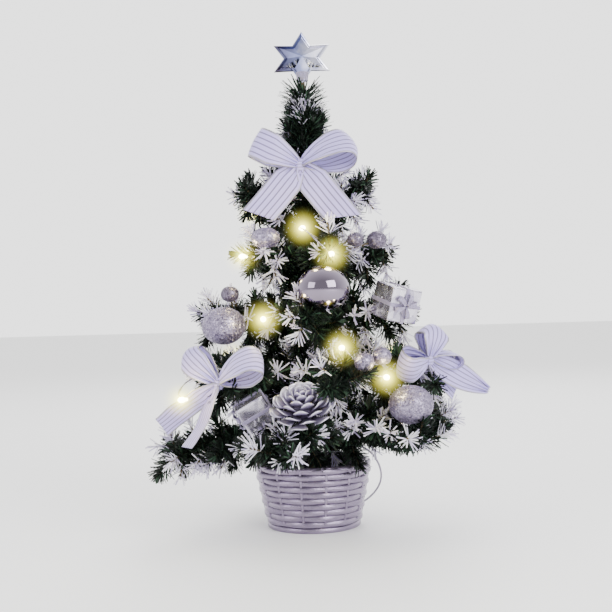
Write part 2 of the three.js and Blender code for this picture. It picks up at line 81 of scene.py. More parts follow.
# %% [markdown]
# ## Small tools
# A few helpers carry the whole lesson. One turns a hex colour to linear light, one adds a node with its
# settings and links, and one makes a mesh object from points and faces. Most finishes share a recipe: a
# fine pattern in the object's own space picks a tint between two or three colours, and may raise the
# surface a little. Work is in metres, so MM turns the maker's millimetres into them.

# %% Colours and nodes
MM = 0.001


def colour(code):
    channels = [int(code[i:i + 2], 16) / 255 for i in (1, 3, 5)]
    linear = [c / 12.92 if c <= 0.04045 else ((c + 0.055) / 1.055) ** 2.4 for c in channels]
    return (*linear, 1.0)


def add_node(tree, kind, sockets=None, **settings):
    """Adds a node. A socket takes a plain value, another node or one of its outputs."""
    node = tree.nodes.new(kind)
    for key, value in settings.items():
        setattr(node, key, value)
    for socket, value in (sockets or {}).items():
        if isinstance(value, bpy.types.Node):
            value = value.outputs[0]
        if isinstance(value, bpy.types.NodeSocket):
            tree.links.new(value, node.inputs[socket])
        else:
            node.inputs[socket].default_value = value
    return node


def new_finish(name, **constants):
    material = bpy.data.materials.new(name)
    material.use_nodes = True
    shader = material.node_tree.nodes["Principled BSDF"]
    for socket, value in constants.items():
        shader.inputs[socket.replace("_", " ")].default_value = value
    return material, material.node_tree, shader


def tint(tree, shader, chooser, stops, bump=None, height=None):
    """A pattern chooses the base colour from the stops; bump is a strength and a depth."""
    ramp = add_node(tree, "ShaderNodeValToRGB", {0: chooser})
    places = sorted(stops)
    for place in places[1:-1]:
        ramp.color_ramp.elements.new(place)
    for element, place in zip(ramp.color_ramp.elements, places):
        element.position = place
        element.color = colour(stops[place])
    tree.links.new(ramp.outputs["Color"], shader.inputs["Base Color"])
    if bump:
        raised = add_node(tree, "ShaderNodeBump", {"Strength": bump[0], "Distance": bump[1],
                                                   "Height": height or chooser})
        tree.links.new(raised.outputs["Normal"], shader.inputs["Normal"])


def grained(name, dark, pale, scale, detail=2.0, bump=None, cells=False, **constants):
    """A finish whose tint wanders between two colours, by noise or from one small cell to the next."""
    material, tree, shader = new_finish(name, **constants)
    place = add_node(tree, "ShaderNodeTexCoord")
    if cells:
        cell = add_node(tree, "ShaderNodeTexVoronoi", {"Scale": scale, "Vector": place.outputs["Object"]})
        grain = add_node(tree, "ShaderNodeRGBToBW", {0: cell.outputs["Color"]})
    else:
        grain = add_node(tree, "ShaderNodeTexNoise", {"Scale": scale, "Detail": detail,
                                                      "Vector": place.outputs["Object"]})
    tint(tree, shader, grain, {0: dark, 1: pale}, bump)
    return material


print("white is", colour("#ffffff"))

# %% Meshes


def placed(name, data):
    """Puts mesh, curve or lamp data into the scene as an object."""
    thing = bpy.data.objects.new(name, data)
    bpy.context.scene.collection.objects.link(thing)
    return thing


def mesh_object(name, points, faces, smooth=True):
    mesh = bpy.data.meshes.new(name)
    mesh.from_pydata([tuple(p) for p in points], [], faces)
    mesh.validate()
    mesh.polygons.foreach_set("use_smooth", [smooth] * len(mesh.polygons))
    return placed(name, mesh)


def joined(name, parts):
    """Joins mesh objects into one, keeping their finishes, uv maps and attributes."""
    whole = bmesh.new()
    materials = []
    for part in parts:
        slots = {}
        for i, material in enumerate(part.data.materials):
            if material not in materials:
                materials.append(material)
            slots[i] = materials.index(material)
        before = len(whole.faces)
        whole.from_mesh(part.data)
        whole.faces.ensure_lookup_table()
        for face in whole.faces[before:]:
            face.material_index = slots.get(face.material_index, 0)
    mesh = bpy.data.meshes.new(name)
    whole.to_mesh(mesh)
    whole.free()
    for material in materials:
        mesh.materials.append(material)
    for part in parts:
        bpy.data.objects.remove(part)
    return placed(name, mesh)


def applied(thing):
    """Bakes an object's modifiers into a plain mesh."""
    evaluated = thing.evaluated_get(bpy.context.evaluated_depsgraph_get())
    mesh = bpy.data.meshes.new_from_object(evaluated)
    thing.modifiers.clear()
    thing.data = mesh
    return thing


def faces_out(thing):
    work = bmesh.new()
    work.from_mesh(thing.data)
    bmesh.ops.remove_doubles(work, verts=work.verts, dist=0.00001)
    bmesh.ops.recalc_face_normals(work, faces=work.faces)
    work.to_mesh(thing.data)
    work.free()
    return thing


def grid_faces(rows, columns, wrap=False):
    last = columns if wrap else columns - 1
    return [(r * columns + c, r * columns + (c + 1) % columns,
             (r + 1) * columns + (c + 1) % columns, (r + 1) * columns + c)
            for r in range(rows - 1) for c in range(last)]


def tube_faces(rings, around):
    """The faces of a tube of rings with both ends shut."""
    last = (rings - 1) * around
    ends = [tuple(reversed(range(around))), tuple(range(last, last + around))]
    return grid_faces(rings, around, wrap=True) + ends


def circle_points(radius, count, height):
    """Points round the Z axis, all at one height."""
    return [(radius * math.cos(a * math.tau / count), radius * math.sin(a * math.tau / count), height)
            for a in range(count)]


def turned(name, profile, segments=48, close=False):
    """Turns (radius, height) points about Z; radius 0 closes to a pole."""
    points, rings, faces = [], [], []
    for radius, height in profile:
        count = 1 if radius == 0 else segments
        rings.append(range(len(points), len(points) + count))
        points += circle_points(radius, segments, height)[:count]
    pairs = list(zip(rings, rings[1:])) + ([(rings[-1], rings[0])] if close else [])
    for low, high in pairs:
        for a in range(segments):
            b = (a + 1) % segments
            corners = [low[a % len(low)], low[b % len(low)], high[b % len(high)], high[a % len(high)]]
            face = list(dict.fromkeys(corners))
            if len(face) > 2:
                faces.append(face)
    return faces_out(mesh_object(name, points, faces))


def smooth_line(points, steps=6):
    """A Catmull-Rom line through the points."""
    points = [Vector(p) for p in points]
    ends = [points[0] * 2 - points[1]] + points + [points[-1] * 2 - points[-2]]
    line = []
    for a, b, c, d in zip(ends, ends[1:], ends[2:], ends[3:]):
        for k in range(steps):
            t = k / steps
            line.append(0.5 * (2 * b + (c - a) * t + (2 * a - 5 * b + 4 * c - d) * t * t
                               + (3 * b - a - 3 * c + d) * t ** 3))
    return line + [points[-1]]


def tube(name, line, radius, sides=8):
    """A closed round tube along a line; radius may be one value or one for each point."""
    radii = radius if isinstance(radius, list) else [radius] * len(line)
    points = []
    across = (line[1] - line[0]).orthogonal().normalized()
    for i, centre in enumerate(line):
        along = (line[min(i + 1, len(line) - 1)] - line[max(i - 1, 0)]).normalized()
        across = (across - along * across.dot(along)).normalized()
        other = along.cross(across)
        for k in range(sides):
            turn = k * math.tau / sides
            points.append(centre + (across * math.cos(turn) + other * math.sin(turn)) * radii[i])
    return mesh_object(name, points, tube_faces(len(line), sides))


def moved(thing, matrix):
    thing.data.transform(matrix)
    thing.data.update()
    return thing


def painted(thing, *materials):
    thing.data.materials.clear()
    for material in materials:
        thing.data.materials.append(material)
    return thing


def settle(piece, body, slot, *nodes):
    """Says what a finished piece rides on and the solid nodes it stands for; its slot is not used."""
    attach(piece, body)
    if nodes:
        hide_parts(*nodes)
    print(piece.name, "on", body, len(piece.data.polygons), "faces")
    return piece


# %% Growing with Geometry Nodes


def new_growth(name, inputs):
    group = bpy.data.node_groups.new(name, "GeometryNodeTree")
    group.interface.new_socket("Geometry", in_out="INPUT", socket_type="NodeSocketGeometry")
    for label, kind, default in inputs:
        socket = group.interface.new_socket(label, in_out="INPUT", socket_type="NodeSocket" + kind)
        if default is not None:
            socket.default_value = default
    group.interface.new_socket("Geometry", in_out="OUTPUT", socket_type="NodeSocketGeometry")
    given = group.nodes.new("NodeGroupInput").outputs
    result = group.nodes.new("NodeGroupOutput").inputs["Geometry"]
    return group, given, result


def grown(name, source, group, **settings):
    """Runs a group on a source object and leaves a plain mesh object in its place."""
    modifier = source.modifiers.new(group.name, "NODES")
    modifier.node_group = group
    sockets = {item.name: item.identifier for item in group.interface.items_tree if item.in_out == "INPUT"}
    for label, value in settings.items():
        modifier[sockets[label.replace("_", " ")]] = value
    evaluated = source.evaluated_get(bpy.context.evaluated_depsgraph_get())
    mesh = bpy.data.meshes.new_from_object(evaluated)
    bpy.data.objects.remove(source)
    return placed(name, mesh)


print("tools ready")

# %% [markdown]
# ## Where the branches are
# Each branch turns on a pin beside the trunk. The pin's joint gives its place and axis, and the branch
# runs outwards square to that axis. A place on a branch is given along its wire, to its left and up.

# %% Branch frames
TIERS = 5
REACH_LOW, REACH_HIGH = 131, 56
DROOP_LOW, LIFT_HIGH, LIFT_CURVE = -14, 42, 0.8
pins = {joint["child"]: joint for joint in frame["joints"]}
BRANCHES = sorted(name[len("limb_"):] for name in pins if name.startswith("limb_"))


def branch_frame(branch):
    pin = pins["limb_" + branch]
    out = Vector((-pin["axis"][1], pin["axis"][0], 0)).normalized()
    up = Vector((0, 0, 1))
    turn = Matrix((out, up.cross(out), up)).transposed().to_4x4()
    return Matrix.Translation(Vector(pin["pos_m"])) @ turn


def on_branch(branch, place):
    return branch_frame(branch) @ (Vector(place) * MM)


def set_on(branch, place, degrees, axis="Z"):
    """The frame of something fastened to a branch: its place, and its turn about one axis."""
    return (branch_frame(branch) @ Matrix.Translation(Vector(place) * MM)
            @ Matrix.Rotation(math.radians(degrees), 4, axis))


def wire_of(branch):
    """The branch wire's own reach and the rise of its tip, in metres."""
    share = (int(branch[0]) - 1) / (TIERS - 1)
    reach = REACH_LOW + (REACH_HIGH - REACH_LOW) * share
    return reach * MM, (DROOP_LOW + (LIFT_HIGH - DROOP_LOW) * share ** LIFT_CURVE) * MM


def wire_point(branch, t):
    reach, rise = wire_of(branch)
    middle = Vector((reach / 2, 0, rise / 2 + 12 * MM))
    return middle * 2 * t * (1 - t) + Vector((reach, 0, rise)) * t * t


print(len(BRANCHES), "branches:", " ".join(BRANCHES))

# %% [markdown]
# ## Finishes for the greenery
# The needles are PVC film, dyed dark green, slit and twisted between two wires, so each is a thin
# glossy strip. A random shade for each needle is stored on the mesh and mixes a near-black with a
# fresher green, because the outer needles catch the light and the inner ones stay dark.

# %% Needle film, frosted tips and wrapped wire
needle_film, tree, shader = new_finish("slit PVC film, dark green", Roughness=0.5, Specular_IOR_Level=0.22)
shade = add_node(tree, "ShaderNodeAttribute", attribute_name="shade")
tint(tree, shader, shade.outputs["Fac"], {0: "#0a100b", 0.7: "#131d16", 1: "#395240"})

# Flocked tips: short fibres glued on the needle's end, so they are matt, thick and nearly white.
frost, tree, shader = new_finish("flocked needle tip, pearl white", Roughness=0.55, Sheen_Weight=0.3)
shade = add_node(tree, "ShaderNodeAttribute", attribute_name="shade")
tint(tree, shader, shade.outputs["Fac"], {0: "#b9aed2", 1: "#f6f4fb"})

# Wrapped wire: green-brown tape wound round steel, matt, with the paper's grain.
wrapped_wire = grained("paper tape round steel wire", "#2a2214", "#5d5136", 260.0, 4.0, Roughness=0.75)
print("greenery finishes:", needle_film.name, "|", frost.name, "|", wrapped_wire.name)

# %% [markdown]
# ## Needles: a brush along a line
# A branch is a bottle brush: needles stand out all round a wire. Modelling each by hand is hopeless,
# so the wire is drawn as plain edges and a Geometry Nodes group plants needles along it. Each point of
# the line carries three values: how long its needles are, how far they lean and whether they are frosted.

# %% The brush group
brush, given, result = new_growth("Needle brush", [
    ("Needles per metre", "Float", 3000.0), ("Needle width", "Float", 1.95 * MM),
    ("Needle thickness", "Float", 0.45 * MM), ("Frost width", "Float", 1.75 * MM),
    ("Frost thickness", "Float", 1.0 * MM), ("Frost share", "Float", 0.34), ("Wire radius", "Float", 0.9 * MM),
    ("Seed", "Int", 1),
    ("Needle finish", "Material", None), ("Frost finish", "Material", None), ("Wire finish", "Material", None)])
curve = add_node(brush, "GeometryNodeMeshToCurve", {0: given["Geometry"]})
spacing = add_node(brush, "ShaderNodeMath", {0: 1.0, 1: given["Needles per metre"]}, operation="DIVIDE")
sites = add_node(brush, "GeometryNodeCurveToPoints", {"Curve": curve, "Length": spacing}, mode="LENGTH")
long, lean, frosted = [
    add_node(brush, "GeometryNodeInputNamedAttribute", {"Name": label}, data_type="FLOAT").outputs["Attribute"]
    for label in ("needle_long", "needle_lean", "needle_frost")]
lean_spread = add_node(brush, "FunctionNodeRandomValue", {2: -0.28, 3: 0.28, "Seed": given["Seed"]},
                       data_type="FLOAT")
leaning = add_node(brush, "ShaderNodeMath", {0: lean, 1: lean_spread.outputs[1]}, operation="ADD")
# Each needle draws its own turn round the wire, length and shade.
draws = []
for step, low, high in ((17.0, 0.0, math.tau), (31.0, 0.72, 1.12), (61.0, 0.0, 1.0)):
    seed = add_node(brush, "ShaderNodeMath", {0: given["Seed"], 1: step}, operation="ADD")
    draw = add_node(brush, "FunctionNodeRandomValue", {2: low, 3: high, "Seed": seed}, data_type="FLOAT")
    draws.append(draw.outputs[1])
round_wire, length_spread, shade_value = draws
angles = add_node(brush, "ShaderNodeCombineXYZ", {"X": leaning, "Z": round_wire})
as_turn = add_node(brush, "FunctionNodeEulerToRotation", {0: angles})
turn = add_node(brush, "FunctionNodeRotateRotation", {0: sites.outputs["Rotation"], 1: as_turn},
                rotation_space="LOCAL")
own_length = add_node(brush, "ShaderNodeMath", {0: long, 1: length_spread}, operation="MULTIPLY")
is_frosted = add_node(brush, "FunctionNodeCompare", {1: 0.5, 0: frosted}, data_type="FLOAT", operation="GREATER_THAN")
is_green = add_node(brush, "FunctionNodeBooleanMath", {0: is_frosted}, operation="NOT")
kept_seed = add_node(brush, "ShaderNodeMath", {1: 47.0, 0: given["Seed"]}, operation="ADD")
kept = add_node(brush, "FunctionNodeRandomValue", {"Probability": given["Frost share"], "Seed": kept_seed},
                data_type="BOOLEAN")
frost_here = add_node(brush, "FunctionNodeBooleanMath", {0: is_frosted, 1: kept.outputs[3]}, operation="AND")
layers = []
for kind, blunt, here in (("Needle", 0.32, is_green), ("Frost", 0.36, frost_here)):
    blade = add_node(brush, "GeometryNodeMeshCone", {"Vertices": 3, "Side Segments": 1, "Fill Segments": 1,
                                                     "Radius Top": blunt, "Radius Bottom": 0.5, "Depth": 1.0})
    size = add_node(brush, "ShaderNodeCombineXYZ", {"X": given[kind + " width"],
                                                    "Y": given[kind + " thickness"], "Z": own_length})
    planted = add_node(brush, "GeometryNodeInstanceOnPoints", {"Points": sites.outputs["Points"],
                                                               "Selection": here,
                                                               "Instance": blade.outputs["Mesh"],
                                                               "Rotation": turn, "Scale": size})
    shaded = add_node(brush, "GeometryNodeStoreNamedAttribute", {"Name": "shade", "Geometry": planted,
                                                                 "Value": shade_value},
                      data_type="FLOAT", domain="INSTANCE")
    real = add_node(brush, "GeometryNodeRealizeInstances", {0: shaded})
    layers.append(add_node(brush, "GeometryNodeSetMaterial", {"Geometry": real, "Material": given[kind + " finish"]}))
ring = add_node(brush, "GeometryNodeCurvePrimitiveCircle", {"Resolution": 5, "Radius": given["Wire radius"]})
core = add_node(brush, "GeometryNodeCurveToMesh", {"Fill Caps": True, "Curve": curve,
                                                   "Profile Curve": ring.outputs["Curve"]})
layers.append(add_node(brush, "GeometryNodeSetMaterial", {"Geometry": core, "Material": given["Wire finish"]}))
whole = add_node(brush, "GeometryNodeJoinGeometry")
for layer in layers:
    brush.links.new(layer.outputs[0], whole.inputs[0])
brush.links.new(whole.outputs[0], result)
print("brush group has", len(brush.nodes), "nodes")

# %% [markdown]
# ## Branch skeletons
# A main wire carries a twig every few millimetres that forks forwards, left and right by turns, and with
# each a steeper one that fills the gap to the next tier. The lowest branches hang at the left and behind,
# and are lifted over the pot and at the right. Needles shorten and lean forward at a twig's end, so that
# the end reads as a small starburst, and six ends in ten are frosted. Every random draw is seeded.

# %% Draw the twigs
NEEDLE_LONG = 13 * MM
NEEDLE_LEAN = math.radians(63)
TIP_LEAN = math.radians(34)
FROST_LONG = 12 * MM       # how far back from its end a frosted twig is white
LINE_STEP = 5 * MM
NEEDLES = 5200.0           # needles on each metre of twig
FROSTED_SHARE = 0.6        # how many twigs end in white
FROSTED_WIRES = 0.7        # how many main wires do
SITE_PITCH = 8.4 * MM      # between the places where twigs leave the wire
FIRST_SITE = 0.06          # the first of them, as a share of the wire
SITES_SPAN, WIRE_SPAN = 0.84, 0.885     # how much of the wire the twigs and the needles cover
SHORT_TIERS, SHORT = "45", 0.90         # the top tiers cover a little less
LIFTED = {"1b": 5 * MM}    # how far a tip is raised above the solid's wire
LOW_RIGHT_LIFT = 12 * MM
HANGING_CLIMB = (-42, 22)  # least and most climb of a side twig, in degrees
LEAST_CLIMB, LEAST_OVER_POT, LEAST_LOW_RIGHT, MOST_CLIMB = -26, 4, 12, 46
TWIG_SHARE = 0.40          # a side twig's length, as a share of the branch's reach
TWIG_SHORTEST, TWIG_LONGEST = 20 * MM, 46 * MM


def add_line(lines, points, frosted):
    """Adds one wire with its needle values; the last stretch makes the starburst."""
    long_way = [0.0]
    for a, b in zip(points, points[1:]):
        long_way.append(long_way[-1] + (b - a).length)
    total = long_way[-1]
    lines.append([(p, NEEDLE_LONG * min(1.0, 0.72 + (total - d) / (22 * MM)),
                   TIP_LEAN + (NEEDLE_LEAN - TIP_LEAN) * min(1.0, (total - d) / (12 * MM)),
                   1.0 if frosted and total - d < FROST_LONG else 0.0) for p, d in zip(points, long_way)])


def twig_points(root, way, length, bend):
    """A twig from its root: straight at first, then bent upwards or downwards."""
    count = max(3, round(length / LINE_STEP))
    return [root + way * length * k / count + Vector((0, 0, bend * (k / count) ** 2)) for k in range(count + 1)]


def line_object(name, lines):
    points, edges, values = [], [], []
    for line in lines:
        first = len(points)
        points += [tuple(p) for p, *_ in line]
        values += [rest for _, *rest in line]
        edges += [(first + k, first + k + 1) for k in range(len(line) - 1)]
    mesh = bpy.data.meshes.new(name)
    mesh.from_pydata(points, edges, [])
    for k, label in enumerate(("needle_long", "needle_lean", "needle_frost")):
        mesh.attributes.new(label, "FLOAT", "POINT").data.foreach_set("value", [v[k] for v in values])
    return placed(name, mesh)


def round_way(around, climb):
    """The way that points round the upright axis by one angle and climbs by another."""
    return Vector((math.cos(around) * math.cos(climb), math.sin(around) * math.cos(climb), math.sin(climb)))


def branch_lines(branch, dice):
    """The main wire and twigs of one branch, in the frame of the whole tree."""
    reach, _ = wire_of(branch)
    home = branch_frame(branch)
    over_pot = branch in LIFTED
    hangs = branch[0] == "1" and not over_pot and (home.to_3x3() @ Vector((1, 0, 0))).x < 0.25
    low_right = branch[0] == "1" and not over_pot and not hangs
    short = SHORT if branch[0] in SHORT_TIERS else 1.0
    lines = []
    steps = round(reach / LINE_STEP)
    raised = Vector((0, 0, LOW_RIGHT_LIFT if low_right else LIFTED.get(branch, 0.0)))
    lowest = LEAST_LOW_RIGHT if low_right else LEAST_OVER_POT if over_pot else LEAST_CLIMB
    stem = [home @ (wire_point(branch, t) + raised * t * t)
            for t in (FIRST_SITE + WIRE_SPAN * short * k / steps for k in range(steps + 1))]
    add_line(lines, stem, dice.random() < FROSTED_WIRES)
    sites = round(reach / SITE_PITCH)
    for k in range(sites):
        t = FIRST_SITE + SITES_SPAN * short * k / (sites - 1)
        side = 1 if k % 2 else -1
        root = wire_point(branch, t) + raised * t * t
        fork = math.radians(dice.uniform(38, 58))
        lift = math.radians(dice.uniform(*HANGING_CLIMB) if hangs else dice.uniform(lowest, MOST_CLIMB))
        long = reach * TWIG_SHARE * (1.12 - 0.58 * t) * dice.uniform(0.82, 1.12)
        long = min(max(long, TWIG_SHORTEST), TWIG_LONGEST)
        way = Vector((math.cos(fork), side * math.sin(fork), math.tan(lift) * 0.55)).normalized()
        bend = (dice.uniform(-7, 1) if hangs else dice.uniform(-1, 4)) * MM
        add_line(lines, [home @ p for p in twig_points(root, way, long, bend)], dice.random() < FROSTED_SHARE)
        # A second, steeper twig fills the space above or below the branch.
        down = k % 3 != 0 and t > 0.34 if hangs else k % 2 == 0 and (lowest < 0 or t < 0.3)
        steep = math.radians(dice.uniform(48, 68)) * (-1 if down else 1)
        fork = math.radians(dice.uniform(-75, 75))
        long = (34 - 13 * t) * MM * dice.uniform(0.85, 1.15)
        way = round_way(fork, steep)
        add_line(lines, [home @ p for p in twig_points(root, way, long, 0.0)], dice.random() < FROSTED_SHARE)
    return lines


def brushed(name, lines, seed, needles=NEEDLES, **settings):
    """Grows needles on a set of lines."""
    return grown(name, line_object(name + "_wires", lines), brush, Seed=seed, Needles_per_metre=needles,
                 Needle_finish=needle_film, Frost_finish=frost, Wire_finish=wrapped_wire, **settings)


for number, branch in enumerate(BRANCHES):
    piece = brushed("needles_" + branch, branch_lines(branch, random.Random(100 + number)), number * 7 + 3)
    settle(piece, "limb_" + branch, "pvc_needles", "branch_" + branch)

# %% [markdown]
# ## The leader
# The top of the tree is an upright tuft on the trunk itself. Its twigs ring the trunk and rise
# steeply, long at the foot and short under the star. The trunk below is furred with needles too, so
# that no daylight shows through the middle of the tree.

# %% Leader and furred trunk
LEADER_FOOT, LEADER_TOP = 290 * MM, 393 * MM
LEADER_ROWS, FULL_ROWS = 10, 6      # rows of twigs, and how many of them are full rings
LAST_TWIG = 24 * MM                 # from the last row to the leader's top
dice = random.Random(7)
lines = []
for row in range(LEADER_ROWS):
    share = row / (LEADER_ROWS - 1)
    root = Vector((0, 0, LEADER_FOOT + (LEADER_TOP - LAST_TWIG - LEADER_FOOT) * share))
    ring = 8 if row < FULL_ROWS else 5
    for k in range(ring):
        angle = math.radians(k * 360 / ring + row * 37 + dice.uniform(-10, 10))
        climb = math.radians(dice.uniform(18, 42) + 26 * share)
        long = (46 - 30 * share) * MM * dice.uniform(0.85, 1.1)
        long *= 0.55 if math.sin(angle) < -0.3 and row < FULL_ROWS else 1.0    # room for the bow in front
        add_line(lines, twig_points(root, round_way(angle, climb), long, 3 * MM), dice.random() < FROSTED_SHARE)
settle(brushed("needles_leader", lines, 5), "root", "pvc_needles", "leader")

FUR_FOOT, FUR_LONG, FUR_NEEDLES = 76 * MM, 24 * MM, 15000.0
trunk_line = [Vector((0, 0, FUR_FOOT + (LEADER_TOP - FUR_FOOT) * k / 60)) for k in range(61)]
lines = [[(p, FUR_LONG, NEEDLE_LEAN, 0.0) for p in trunk_line]]
settle(brushed("trunk_needles", lines, 9, FUR_NEEDLES, Wire_radius=1.5 * MM), "root", "pvc_needles")

# %% [markdown]
# ## The pot
# The real pot is moulded polypropylene with a basket-weave wall, metallised in a pale lilac silver. A
# weave follows a rule: flat strips go round in rows, over one upright stake and under the next, and the
# next row does the opposite. So Geometry Nodes bend one circle in and out as many times as there are
# stakes, give it a flat section, and stack the rows with every other one turned by one stake.

# %% Metallised plastic for the pot
metallised_pot, tree, shader = new_finish("metallised polypropylene, lilac silver", Metallic=0.8, Roughness=0.27)
place = add_node(tree, "ShaderNodeTexCoord")
streaks = add_node(tree, "ShaderNodeMapping", {"Scale": (1.0, 1.0, 4.0), "Vector": place.outputs["Object"]})
cloud = add_node(tree, "ShaderNodeTexNoise", {"Scale": 60.0, "Detail": 5.0, "Vector": streaks})
fibre = add_node(tree, "ShaderNodeTexWave", {"Scale": 420.0, "Distortion": 2.0, "Detail": 2.0,
                                             "Vector": place.outputs["Object"]}, bands_direction="Z")
tint(tree, shader, cloud, {0: "#776a84", 1: "#a094aa"}, (0.22, 0.0003), fibre.outputs["Fac"])
print(metallised_pot.name)

# %% The weave group
weave, given, result = new_growth("Basket weave", [
    ("Rows", "Int", 10), ("Stakes", "Int", 14), ("Row pitch", "Float", 5.3 * MM),
    ("Strip height", "Float", 5.7 * MM), ("Strip thickness", "Float", 2.6 * MM), ("Weave depth", "Float", 0.8 * MM),
    ("Foot radius", "Float", 42.4 * MM), ("Flare", "Float", 0.195), ("First row", "Float", 8 * MM),
    ("Stake radius", "Float", 1.35 * MM), ("Finish", "Material", None)])
strips = []
for phase in (0.0, math.pi):
    hoop = add_node(weave, "GeometryNodeCurvePrimitiveCircle", {"Resolution": 196, "Radius": 1.0})
    around = add_node(weave, "GeometryNodeInputPosition")
    parts = add_node(weave, "ShaderNodeSeparateXYZ", {0: around})
    angle = add_node(weave, "ShaderNodeMath", {0: parts.outputs["Y"], 1: parts.outputs["X"]}, operation="ARCTAN2")
    half_stakes = add_node(weave, "ShaderNodeMath", {1: 0.5, 0: given["Stakes"]}, operation="MULTIPLY")
    turns = add_node(weave, "ShaderNodeMath", {2: phase, 0: angle, 1: half_stakes}, operation="MULTIPLY_ADD")
    wave = add_node(weave, "ShaderNodeMath", {0: turns}, operation="COSINE")
    depth = add_node(weave, "ShaderNodeMath", {0: given["Weave depth"], 1: given["Foot radius"]}, operation="DIVIDE")
    swing = add_node(weave, "ShaderNodeMath", {2: 1.0, 0: wave, 1: depth}, operation="MULTIPLY_ADD")
    pushed = add_node(weave, "ShaderNodeVectorMath", {0: around, "Scale": swing}, operation="SCALE")
    sized = add_node(weave, "ShaderNodeVectorMath", {0: pushed, "Scale": given["Foot radius"]}, operation="SCALE")
    bent = add_node(weave, "GeometryNodeSetPosition", {"Geometry": hoop, "Position": sized})
    bead = add_node(weave, "GeometryNodeCurvePrimitiveCircle", {"Resolution": 10, "Radius": 0.5})
    flat = add_node(weave, "ShaderNodeCombineXYZ", {"X": given["Strip thickness"], "Y": given["Strip height"]})
    section = add_node(weave, "GeometryNodeTransform", {"Geometry": bead, "Scale": flat})
    strips.append(add_node(weave, "GeometryNodeCurveToMesh", {"Curve": bent, "Profile Curve": section}))
pitch_up = add_node(weave, "ShaderNodeCombineXYZ", {"Z": given["Row pitch"]})
first_up = add_node(weave, "ShaderNodeCombineXYZ", {"Z": given["First row"]})
places = add_node(weave, "GeometryNodeMeshLine", {"Count": given["Rows"], "Start Location": first_up,
                                                  "Offset": pitch_up}, mode="OFFSET")
row = add_node(weave, "GeometryNodeInputIndex")
odd = add_node(weave, "ShaderNodeMath", {1: 2.0, 0: row}, operation="MODULO")
even = add_node(weave, "ShaderNodeMath", {0: 1.0, 1: odd}, operation="SUBTRACT")
rise = add_node(weave, "ShaderNodeMath", {0: row, 1: given["Row pitch"]}, operation="MULTIPLY")
wider = add_node(weave, "ShaderNodeMath", {0: rise, 1: given["Flare"]}, operation="MULTIPLY")
ratio = add_node(weave, "ShaderNodeMath", {0: wider, 1: given["Foot radius"]}, operation="DIVIDE")
grow = add_node(weave, "ShaderNodeMath", {1: 1.0, 0: ratio}, operation="ADD")
flared = add_node(weave, "ShaderNodeCombineXYZ", {"Z": 1.0, "X": grow, "Y": grow})
stack = []
for hoop, which in zip(strips, (even, odd)):
    stack.append(add_node(weave, "GeometryNodeInstanceOnPoints", {"Points": places, "Selection": which,
                                                                  "Instance": hoop, "Scale": flared}))
# Upright stakes: one leaning rod, copied round the axis.
last_row = add_node(weave, "ShaderNodeMath", {2: 4 * MM, 0: given["Rows"], 1: given["Row pitch"]},
                    operation="MULTIPLY_ADD")
above_first = add_node(weave, "ShaderNodeMath", {0: last_row, 1: given["First row"]}, operation="SUBTRACT")
lean_out = add_node(weave, "ShaderNodeMath", {0: above_first, 1: given["Flare"]}, operation="MULTIPLY")
stake_top = add_node(weave, "ShaderNodeMath", {0: given["Foot radius"], 1: lean_out}, operation="ADD")
low_end = add_node(weave, "ShaderNodeCombineXYZ", {"X": given["Foot radius"], "Z": given["First row"]})
high_end = add_node(weave, "ShaderNodeCombineXYZ", {"X": stake_top, "Z": last_row})
rod_line = add_node(weave, "GeometryNodeCurvePrimitiveLine", {"Start": low_end, "End": high_end})
rod_ring = add_node(weave, "GeometryNodeCurvePrimitiveCircle", {"Resolution": 10, "Radius": given["Stake radius"]})
stake = add_node(weave, "GeometryNodeCurveToMesh", {"Fill Caps": True, "Curve": rod_line, "Profile Curve": rod_ring})
spots = add_node(weave, "GeometryNodeMeshLine", {"Offset": (0.0, 0.0, 0.0), "Count": given["Stakes"]}, mode="OFFSET")
number = add_node(weave, "GeometryNodeInputIndex")
share = add_node(weave, "ShaderNodeMath", {0: number, 1: given["Stakes"]}, operation="DIVIDE")
around = add_node(weave, "ShaderNodeMath", {1: math.tau, 0: share}, operation="MULTIPLY")
facing = add_node(weave, "ShaderNodeCombineXYZ", {"Z": around})
facing = add_node(weave, "FunctionNodeEulerToRotation", {0: facing})
stack.append(add_node(weave, "GeometryNodeInstanceOnPoints", {"Points": spots, "Instance": stake,
                                                              "Rotation": facing}))
whole = add_node(weave, "GeometryNodeJoinGeometry")
for layer in stack:
    weave.links.new(layer.outputs[0], whole.inputs[0])
real = add_node(weave, "GeometryNodeRealizeInstances", {0: whole})
smooth = add_node(weave, "GeometryNodeSetShadeSmooth", {"Geometry": real})
dressed = add_node(weave, "GeometryNodeSetMaterial", {"Geometry": smooth, "Material": given["Finish"]})
weave.links.new(dressed.outputs[0], result)
print("weave group has", len(weave.nodes), "nodes")

# %% Weave, liner, rim and foot
POT_FOOT, FOOT_INSIDE = 42.6, 38.6
RIM_MIDDLE, RIM_ROUND, RIM_HEIGHT = 50.6, 2.4, 57.1


def turned_mm(name, profile, segments, close=False):
    return turned(name, [(radius * MM, height * MM) for radius, height in profile], segments, close)


